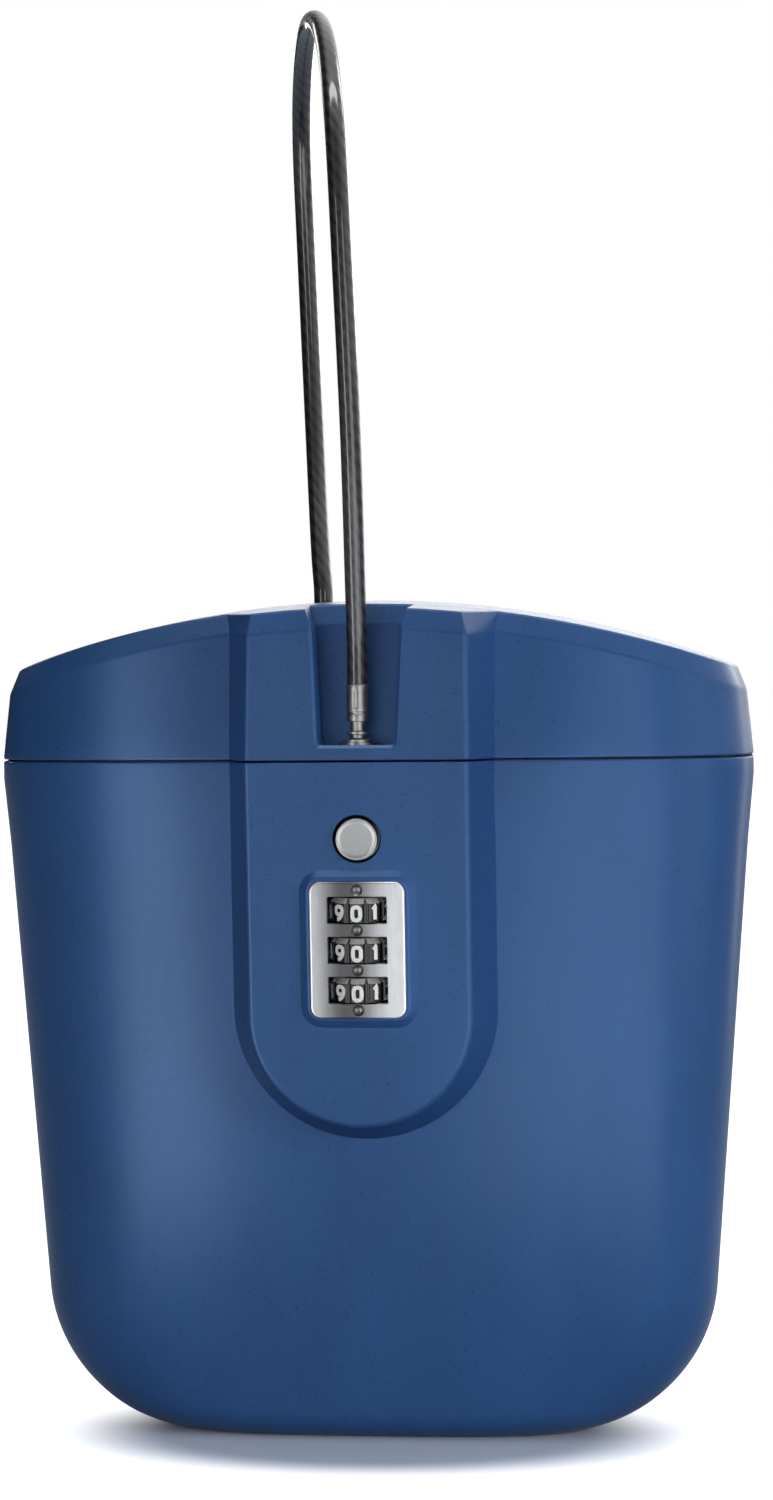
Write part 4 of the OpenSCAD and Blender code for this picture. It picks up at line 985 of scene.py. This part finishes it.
def faced_steel(colours, s):
    """Stainless steel, turned on a lathe and faced: fine rings 0.15 mm apart, drawn 0.3 mm apart so that they show,
    round the button's own axis, specks of 0.4 mm and a soft glint, and painted shade outside the cap: the flange
    seen in the gap round the button is near black, as if in shadow."""
    material, tree, shader = start_material("faced_steel")
    middle, flat = on_panel(np.array([0, 0, -s.button_low]), s) * MM, 0.1
    where = add(tree, "ShaderNodeTexCoord").outputs["Object"]
    centred = add(tree, "ShaderNodeMapping", {"Vector": where, "Location": (-middle[0], -flat * middle[1], -middle[2]),
                                              "Scale": (1, flat, 1)}).outputs["Vector"]
    apart = add(tree, "ShaderNodeVectorMath", {0: centred}, operation="LENGTH").outputs["Value"]
    rings = add(tree, "ShaderNodeMath", {0: apart, 1: 2 * math.pi * every(0.3)}, operation="MULTIPLY").outputs[0]
    wave = add(tree, "ShaderNodeMath", {0: rings}, operation="SINE").outputs[0]
    speck = add(tree, "ShaderNodeTexNoise", {"Vector": centred, "Scale": every(0.4), "Detail": 2}).outputs["Fac"]
    # Painted shade: outside the cap's rim the colour turns near black, for the shadowed gap round the button
    out = add(tree, "ShaderNodeMapRange", {"Value": apart, "From Min": (s.button_radius + 0.1) * MM,
                                           "From Max": (s.button_radius + 0.2) * MM}).outputs["Result"]
    cap = add(tree, "ShaderNodeMix", {0: speck, 6: rgba(colours.button, 0.85), 7: rgba(colours.button, 1.15)},
              data_type="RGBA").outputs[2]
    tint = add(tree, "ShaderNodeMix", {0: out, 6: cap, 7: rgba(linear("121419"))}, data_type="RGBA").outputs[2]
    gloss = add(tree, "ShaderNodeMapRange", {"Value": speck, "To Min": 0.3, "To Max": 0.46}).outputs["Result"]
    bump = add(tree, "ShaderNodeBump", {"Strength": 0.06, "Distance": 0.03 * MM, "Height": wave}).outputs["Normal"]
    fill(tree, shader, {"Base Color": tint, "Roughness": gloss, "Normal": bump, "Metallic": 1})
    return material


def plated_steel(name, base, rough, painted_shade_below=0.0):
    """Turned and plated steel: a skin whose gloss varies in patches of about 1.5 mm, and painted shade below the given
    height, which makes the locking peg near black where it shows through the parting gap under the channel."""
    material, tree, shader = start_material(name)
    fade = 0.2 * MM
    where = add(tree, "ShaderNodeTexCoord").outputs["Object"]
    patch = add(tree, "ShaderNodeTexNoise", {"Vector": where, "Scale": every(1.5385), "Detail": 3}).outputs["Fac"]
    skin = add(tree, "ShaderNodeMix", {0: patch, 6: rgba(base, 0.72), 7: rgba(base, 1.2)},
               data_type="RGBA").outputs[2]
    height = add(tree, "ShaderNodeSeparateXYZ", {0: where}).outputs["Z"]
    # Painted shade: below the height the colour turns near black
    above = add(tree, "ShaderNodeMapRange", {"Value": height, "From Min": painted_shade_below - fade,
                                             "From Max": painted_shade_below + fade}).outputs["Result"]
    tint = add(tree, "ShaderNodeMix", {0: above, 6: rgba(linear("0D0D10")), 7: skin},
               data_type="RGBA").outputs[2]
    gloss = add(tree, "ShaderNodeMapRange",
                {"Value": patch, "To Min": rough - 0.08, "To Max": rough + 0.1}).outputs["Result"]
    fill(tree, shader, {"Base Color": tint, "Roughness": gloss, "Metallic": 1})
    return material


def plain_moulding(name, base, rough, grain_size, ior=1.5):
    """A moulded, cured or painted skin with a fine grain of the given size in millimetres in its colour, gloss and
    relief."""
    material, tree, shader = start_material(name)
    where = add(tree, "ShaderNodeTexCoord").outputs["Object"]
    grain = add(tree, "ShaderNodeTexNoise", {"Vector": where, "Scale": every(grain_size), "Detail": 3}).outputs["Fac"]
    tint = add(tree, "ShaderNodeMix", {0: grain, 6: rgba(base, 0.7), 7: rgba(base, 1.3)},
               data_type="RGBA").outputs[2]
    gloss = add(tree, "ShaderNodeMapRange",
                {"Value": grain, "To Min": rough - 0.06, "To Max": rough + 0.08}).outputs["Result"]
    bump = add(tree, "ShaderNodeBump", {"Strength": 0.1, "Distance": 0.1 * MM, "Height": grain}).outputs["Normal"]
    fill(tree, shader, {"Base Color": tint, "Roughness": gloss, "Normal": bump, "IOR": ior})
    return material


def coated_strand(colours):
    """Wire rope of six strands under a clear, dark PVC coat: the strands wind once round in 23 mm, as the UV map says,
    each with its finer wires, which wind back once in 9 mm, and the coat's own gloss lies over them."""
    material, tree, shader = start_material("coated_strand")
    parts = add(tree, "ShaderNodeSeparateXYZ", {0: add(tree, "ShaderNodeUVMap", uv_map="UVMap").outputs["UV"]})

    def wave(count, lay):
        """Height of a number of strands that wind once round in the lay: the sine of a turn's share, without sign."""
        turn = add(tree, "ShaderNodeMath", {0: parts.outputs["Y"], 1: every(lay), 2: parts.outputs["X"]},
                   operation="MULTIPLY_ADD").outputs[0]
        phase = add(tree, "ShaderNodeMath", {0: turn, 1: count * math.pi}, operation="MULTIPLY").outputs[0]
        sine = add(tree, "ShaderNodeMath", {0: phase}, operation="SINE").outputs[0]
        return add(tree, "ShaderNodeMath", {0: sine}, operation="ABSOLUTE").outputs[0]
    strand, wire = wave(6, 23), wave(12, -9)
    crest = add(tree, "ShaderNodeMapRange", {"Value": strand, "From Min": 0.25, "From Max": 1.0},
                interpolation_type="SMOOTHSTEP").outputs["Result"]
    fine = add(tree, "ShaderNodeMapRange",
               {"Value": wire, "From Max": 0.7, "To Min": 0.55, "To Max": 1.0}).outputs["Result"]
    crest = add(tree, "ShaderNodeMath", {0: crest, 1: fine}, operation="MULTIPLY").outputs[0]
    tint = add(tree, "ShaderNodeMix", {0: crest, 6: rgba(colours.strand, 0.2), 7: rgba(colours.strand)},
               data_type="RGBA").outputs[2]
    height = add(tree, "ShaderNodeMath", {0: wire, 1: 0.2, 2: strand}, operation="MULTIPLY_ADD").outputs[0]
    bump = add(tree, "ShaderNodeBump", {"Strength": 0.35, "Distance": 0.3 * MM, "Height": height}).outputs["Normal"]
    fill(tree, shader, {"Base Color": tint, "Normal": bump, "Roughness": 0.4, "Specular IOR Level": 0.3,
                        "Coat Weight": 1, "Coat Roughness": 0.11})
    return material


def finish_of(name):
    """A finish by its name, made when it is first asked for."""
    found = bpy.data.materials.get(name)
    if found:
        return found
    c, s = bpy.context.scene.beach_safe_colours, sizes()
    makers = {
        "moulded_abs": lambda: moulded_abs(c),
        "brushed_nickel": lambda: brushed_nickel(c),
        "faced_steel": lambda: faced_steel(c, s),
        "plated_steel": lambda: plated_steel("plated_steel", c.steel, 0.3),
        # Crimped and turned steel with a dull nickel plate, handled a lot: mid-grey with a soft glint, and painted
        # shade, near black, on the peg below the channel's floor
        "crimped_steel": lambda: plated_steel("crimped_steel", c.crimp, 0.38, (s.floor_z - 1.5) * MM),
        "coated_strand": lambda: coated_strand(c),
        # Epoxy paint, wiped into the digits: flat white and a little uneven
        "digit_paint": lambda: plain_moulding("digit_paint", c.digit, 0.45, 0.4),
        # Acetal, moulded: dense black with a soft gloss
        "moulded_acetal": lambda: plain_moulding("moulded_acetal", c.wheel, 0.24, 0.5556, 1.42),
        # Acetal on the wheels' upper cone, pale and dull beside the black rim: a painted highlight where the cone faces
        # up into the light
        "acetal_painted_highlight": lambda: plain_moulding("acetal_painted_highlight", c.cone, 0.5, 0.5556, 1.48),
        # EPDM rubber, cured in a mould: dull and a little dusty
        "moulded_rubber": lambda: plain_moulding("moulded_rubber", c.rubber, 0.72, 1.1111),
        # Glass-filled nylon, moulded: dark grey with the glass as a fine grain
        "filled_nylon": lambda: plain_moulding("filled_nylon", c.housing, 0.55, 0.7143, 1.52)}
    return makers[name]()


# ---------------------------------------------------------------- stage

def ray_kinds(tree):
    """Whether a ray comes from the camera, and whether it comes from it or by a mirror or through glass."""
    seen = add(tree, "ShaderNodeLightPath")
    mirror = add(tree, "ShaderNodeMath", {0: seen.outputs["Is Glossy Ray"], 1: seen.outputs["Is Transmission Ray"]},
                 operation="MAXIMUM")
    direct = add(tree, "ShaderNodeMath", {0: seen.outputs["Is Camera Ray"], 1: mirror.outputs[0]}, operation="MAXIMUM")
    return seen.outputs["Is Camera Ray"], direct.outputs[0]


def stage_camera(scene):
    """The camera, where the photograph was taken: angles in degrees, distance and height in metres."""
    around, far, high, pan, tilt, roll = 6.095, 0.804, 0.1669, 0.105, 1.142, -0.512
    camera = bpy.data.objects.new("camera", bpy.data.cameras.new("camera"))
    scene.collection.objects.link(camera)
    camera.data.sensor_width = 36
    camera.data.lens = 85.425
    place = (far * math.sin(math.radians(around)), -far * math.cos(math.radians(around)), high)
    camera.matrix_world = (Matrix.Translation(place) @ Matrix.Rotation(math.radians(around - pan), 4, "Z")
                           @ Matrix.Rotation(math.radians(90 - tilt), 4, "X")
                           @ Matrix.Rotation(math.radians(roll), 4, "Z"))
    scene.camera = camera
    scene.view_settings.view_transform = "Standard"


def stage_floor(scene):
    """A board painted matt white: the camera sees it white from a glow that fades out over an oval round the base.
    Inside the oval the board is darker, a painted shadow in which the object's own shadow lies, and tinted blue, a
    painted bounce from the blue body. Other rays see it as a dull grey."""
    left, right, front, back = -6, 6, -3, 9
    mesh = bpy.data.meshes.new("floor")
    mesh.from_pydata([(left, front, 0), (right, front, 0), (right, back, 0), (left, back, 0)], [], [(0, 1, 2, 3)])
    floor = bpy.data.objects.new("floor", mesh)
    scene.collection.objects.link(floor)
    paint, tree, shader = start_material("matt_white_board")
    # Painted bounce: the board's own colour is tinted blue, as if lit from the blue body
    fill(tree, shader, {"Base Color": rgba(linear("CED7E7")), "Roughness": 0.9, "Specular IOR Level": 0.1})
    bounce = add(tree, "ShaderNodeBsdfDiffuse", {"Color": rgba(linear("595959"))})
    # Painted shadow: the glow is off within this oval round the base and fades in beyond it
    oval_scale, oval_shift = (1.0, 1.65, 0.0), (0, 0.033, 0)
    flat = add(tree, "ShaderNodeVectorMath",
               {0: add(tree, "ShaderNodeTexCoord").outputs["Object"], 1: oval_scale, 2: oval_shift},
               operation="MULTIPLY_ADD")
    apart = add(tree, "ShaderNodeVectorMath", {0: flat.outputs["Vector"]}, operation="LENGTH").outputs["Value"]
    near = add(tree, "ShaderNodeMapRange", {"Value": apart, "From Min": 45 * MM, "From Max": 80 * MM},
               interpolation_type="SMOOTHSTEP")
    camera_ray, direct = ray_kinds(tree)
    reach = add(tree, "ShaderNodeMath", {0: camera_ray, 1: near.outputs["Result"]}, operation="MULTIPLY")
    glow = add(tree, "ShaderNodeEmission", {"Color": (1, 1, 1, 1), "Strength": reach.outputs[0]})
    board = add(tree, "ShaderNodeAddShader", {0: shader.outputs[0], 1: glow.outputs[0]})
    pick = add(tree, "ShaderNodeMixShader", {0: direct, 1: bounce.outputs[0], 2: board.outputs[0]})
    tree.links.new(pick.outputs[0], tree.nodes["Material Output"].inputs["Surface"])
    mesh.materials.append(paint)


def stage_world(scene):
    """White round the object for the camera, with two dark screens that only mirrors see, one at the left and one in
    front, and a light for matt surfaces that is stronger from behind."""
    world = bpy.data.worlds.new("studio")
    world.use_nodes = True
    scene.world = world
    tree = world.node_tree
    tree.nodes.clear()
    way = add(tree, "ShaderNodeTexCoord").outputs["Generated"]

    def towards(direction, low, high, at_low, at_high):
        """A value that changes smoothly with how far a ray points in a direction."""
        share = add(tree, "ShaderNodeVectorMath", {0: way, 1: direction}, operation="DOT_PRODUCT").outputs["Value"]
        return add(tree, "ShaderNodeMapRange", {"Value": share, "From Min": low, "From Max": high, "To Min": at_low,
                                                "To Max": at_high}, interpolation_type="SMOOTHSTEP").outputs["Result"]
    camera_ray, direct = ray_kinds(tree)
    behind = towards((0, 1, 0), 0.2, 0.9, 0.22, 0.75)
    lit = add(tree, "ShaderNodeBackground", {"Color": rgba(linear("FAFDFF")), "Strength": behind})
    screens = add(tree, "ShaderNodeMath", {0: towards((-0.95, 0.31, 0), 0.2, 0.65, 1, 0),
                                           1: towards((0, -1, 0), 0.3, 0.9, 1, 0.1)}, operation="MULTIPLY")
    shade = add(tree, "ShaderNodeMath", {0: screens.outputs[0], 1: camera_ray}, operation="MAXIMUM")
    white = add(tree, "ShaderNodeBackground", {"Color": (1, 1, 1, 1), "Strength": shade.outputs[0]})
    pick = add(tree, "ShaderNodeMixShader", {0: direct, 1: lit.outputs[0], 2: white.outputs[0]})
    add(tree, "ShaderNodeOutputWorld", {"Surface": pick.outputs[0]})


# Lamps: name, place and the point it looks at in metres, width and height, watts, and whether it makes the sheen of
# glossy surfaces (a strip or rim light) or lights the matt ones (a softbox)
LAMPS = (
    ("left_softbox", (-0.10, -0.73, 0.16), (0, 0, 0.07), (0.35, 0.3), 1.75, False),
    ("right_softbox", (0.64, -0.40, 0.16), (0, 0, 0.07), (0.35, 0.3), 2.6, False),
    ("overhead_softbox", (0, 0.05, 1.0), (0, 0, 0.15), (0.9, 0.7), 1.9, False),
    ("left_strip", (-0.2325, -0.4027, 0.2275), (0.0755, 0.1308, 1.0155), (0.08, 0.72), 0.9, True),
    ("right_strip", (0.2039, -0.4179, 0.2275), (-0.0662, 0.1357, 1.0155), (0.18, 0.72), 1.1, True),
    ("side_strip", (0.50, 0.52, 0.22), (0, 0, 0.08), (0.2, 0.5), 0.3, True),
    ("top_strip", (0.08, -0.30, 0.95), (0, 0, 0.15), (0.9, 0.15), 4.2, True),
    ("rear_strip", (0.15, 0.85, 0.40), (0, 0, 0.15), (0.9, 0.16), 1.3, True),
    ("left_rim", (-0.56, 0.66, 0.60), (0, 0, 0.15), (0.25, 0.25), 0.7, True),
    ("right_rim", (0.52, 0.56, 0.70), (0, 0, 0.15), (0.25, 0.25), 1.2, True))


def stage_lamps(scene):
    """The soft lamps: each is a rectangle turned to its aim, and no camera ray sees it."""
    for name, spot, aim, size, power, sheen in LAMPS:
        lamp = bpy.data.objects.new(name, bpy.data.lights.new(name, "AREA"))
        scene.collection.objects.link(lamp)
        lamp.data.shape, lamp.data.size, lamp.data.size_y, lamp.data.energy = "RECTANGLE", *size, power
        look = (Vector(spot) - Vector(aim)).to_track_quat("Z", "Y")
        lamp.matrix_world = Matrix.Translation(spot) @ look.to_matrix().to_4x4()
        lamp.visible_camera, lamp.visible_glossy, lamp.visible_diffuse = False, sheen, not sheen


# ---------------------------------------------------------------- operators

class SAFE_OT_stage(bpy.types.Operator):
    """Camera, pale floor, world and soft lamps."""
    bl_idname = "safe.stage"
    bl_label = "Stage"

    def execute(self, context):
        for part in (stage_camera, stage_floor, stage_world, stage_lamps):
            part(context.scene)
        return {"FINISHED"}


class SAFE_OT_cable(bpy.types.Operator):
    """Coated cable loop and its crimped ferrule."""
    bl_idname = "safe.cable"
    bl_label = "Cable"

    def execute(self, context):
        s = sizes()
        loop, path, long = cable_loop(s)
        finish_piece(loop, "lid", finish_of("coated_strand"), ["cable"])
        sleeve = finish_piece(ferrule(s), "lid", finish_of("crimped_steel"), ["cable_ferrule"], 35)
        return {"FINISHED"}


class SAFE_OT_body(bpy.types.Operator):
    """Moulded body with its raised panel."""
    bl_idname = "safe.body"
    bl_label = "Body"

    def execute(self, context):
        finish_piece(body_moulding(sizes()), "body", finish_of("moulded_abs"), ["body_shell"])
        return {"FINISHED"}


class SAFE_OT_lid(bpy.types.Operator):
    """Arched lid with its cable channel."""
    bl_idname = "safe.lid"
    bl_label = "Lid"

    def execute(self, context):
        finish_piece(lid_moulding(sizes()), "lid", finish_of("moulded_abs"), ["lid_shell"])
        return {"FINISHED"}


class SAFE_OT_plate(bpy.types.Operator):
    """Brushed face plate with its windows and dimples."""
    bl_idname = "safe.plate"
    bl_label = "Face plate"

    def execute(self, context):
        finish_piece(face_plate(sizes()), "body", finish_of("brushed_nickel"), ["face_plate"], 30)
        return {"FINISHED"}


class SAFE_OT_dials(bpy.types.Operator):
    """Three dial wheels with their digits."""
    bl_idname = "safe.dials"
    bl_label = "Dials"

    def execute(self, context):
        s = sizes()
        for where, z in s.dial_zs.items():
            wheel = finish_piece(dial_wheel("wheel_" + where, s, z), "dial_" + where,
                                 finish_of("moulded_acetal"), ["dial_wheel_" + where], 30)
            wheel.data.materials.append(finish_of("acetal_painted_highlight"))
            ways = np.empty(len(wheel.data.polygons) * 3, np.float32)
            wheel.data.polygons.foreach_get("normal", ways)
            # Painted highlight: faces that point half up, on the upper cone, take the pale acetal
            cone = (ways[2::3] > 0.5) & (ways[2::3] < 0.9)
            wheel.data.polygons.foreach_set("material_index", cone.astype(np.int32))
            finish_piece(digit_band("digits_" + where, s, z), "dial_" + where, finish_of("digit_paint"),
                         (), 30)
        return {"FINISHED"}


class SAFE_OT_button(bpy.types.Operator):
    """Push button above the dials."""
    bl_idname = "safe.button"
    bl_label = "Button"

    def execute(self, context):
        finish_piece(push_button(sizes()), "button_body", finish_of("faced_steel"), ["button"], 30)
        return {"FINISHED"}


class SAFE_OT_springs(bpy.types.Operator):
    """Coil springs of the button and the latch."""
    bl_idname = "safe.springs"
    bl_label = "Springs"

    def execute(self, context):
        s = sizes()
        push = (0, math.cos(s.draft), math.sin(s.draft))
        for (piece, end, long), node, joint, axis, travel in (
                (button_coil(s), "button_spring", "button_press", push, s.button_travel),
                (latch_coil(s), "latch_spring", "latch_move", (1, 0, 0), s.latch_travel)):
            finish_piece(piece, "body", finish_of("plated_steel"), [node], 60)
            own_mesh(piece)
        return {"FINISHED"}


class SAFE_OT_fittings(bpy.types.Operator):
    """Finishes of the CAD pieces that show as they are."""
    bl_idname = "safe.fittings"
    bl_label = "Fittings"

    def execute(self, context):
        chosen = {"lid_liner": "moulded_abs", "lock_cover": "moulded_abs", "lock_housing": "filled_nylon",
                  # The peg and its bushing take painted shade below the channel's floor from crimped_steel
                  "rim_seal": "moulded_rubber", "cable_grommet": "moulded_rubber", "lock_peg": "crimped_steel",
                  "peg_bushing": "crimped_steel"}
        for name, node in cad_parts.items():
            if node.hide_render:
                continue
            node.data.materials.clear()
            node.data.materials.append(finish_of(chosen.get(name, "plated_steel")))
        return {"FINISHED"}


class SAFE_PT_panel(bpy.types.Panel):
    """Buttons and settings of the beach safe in the sidebar."""
    bl_idname = "SAFE_PT_panel"
    bl_label = "Beach Safe"
    bl_space_type = "VIEW_3D"
    bl_region_type = "UI"
    bl_category = "Beach Safe"

    def draw(self, context):
        for operator in OPERATORS:
            self.layout.operator(operator.bl_idname)
        for group in (context.scene.beach_safe_sizes, context.scene.beach_safe_colours):
            box = self.layout.box()
            for key in group.bl_rna.properties.keys():
                if key not in ("rna_type", "name"):
                    box.prop(group, key)


OPERATORS = (SAFE_OT_stage, SAFE_OT_cable, SAFE_OT_body, SAFE_OT_lid, SAFE_OT_plate, SAFE_OT_dials, SAFE_OT_button,
             SAFE_OT_springs, SAFE_OT_fittings)
CLASSES = (SafeSizes, SafeColours) + OPERATORS + (SAFE_PT_panel,)


def register():
    """Registers the classes and puts the settings on the scene."""
    for kind in CLASSES:
        bpy.utils.register_class(kind)
    bpy.types.Scene.beach_safe_sizes = PointerProperty(type=SafeSizes)
    bpy.types.Scene.beach_safe_colours = PointerProperty(type=SafeColours)


def unregister():
    """Takes the settings and the classes away again."""
    del bpy.types.Scene.beach_safe_colours
    del bpy.types.Scene.beach_safe_sizes
    for kind in reversed(CLASSES):
        bpy.utils.unregister_class(kind)


def main():
    """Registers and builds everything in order."""
    register()
    for operator in OPERATORS:
        group, name = operator.bl_idname.split(".")
        getattr(getattr(bpy.ops, group), name)()


if __name__ == "__main__":
    main()
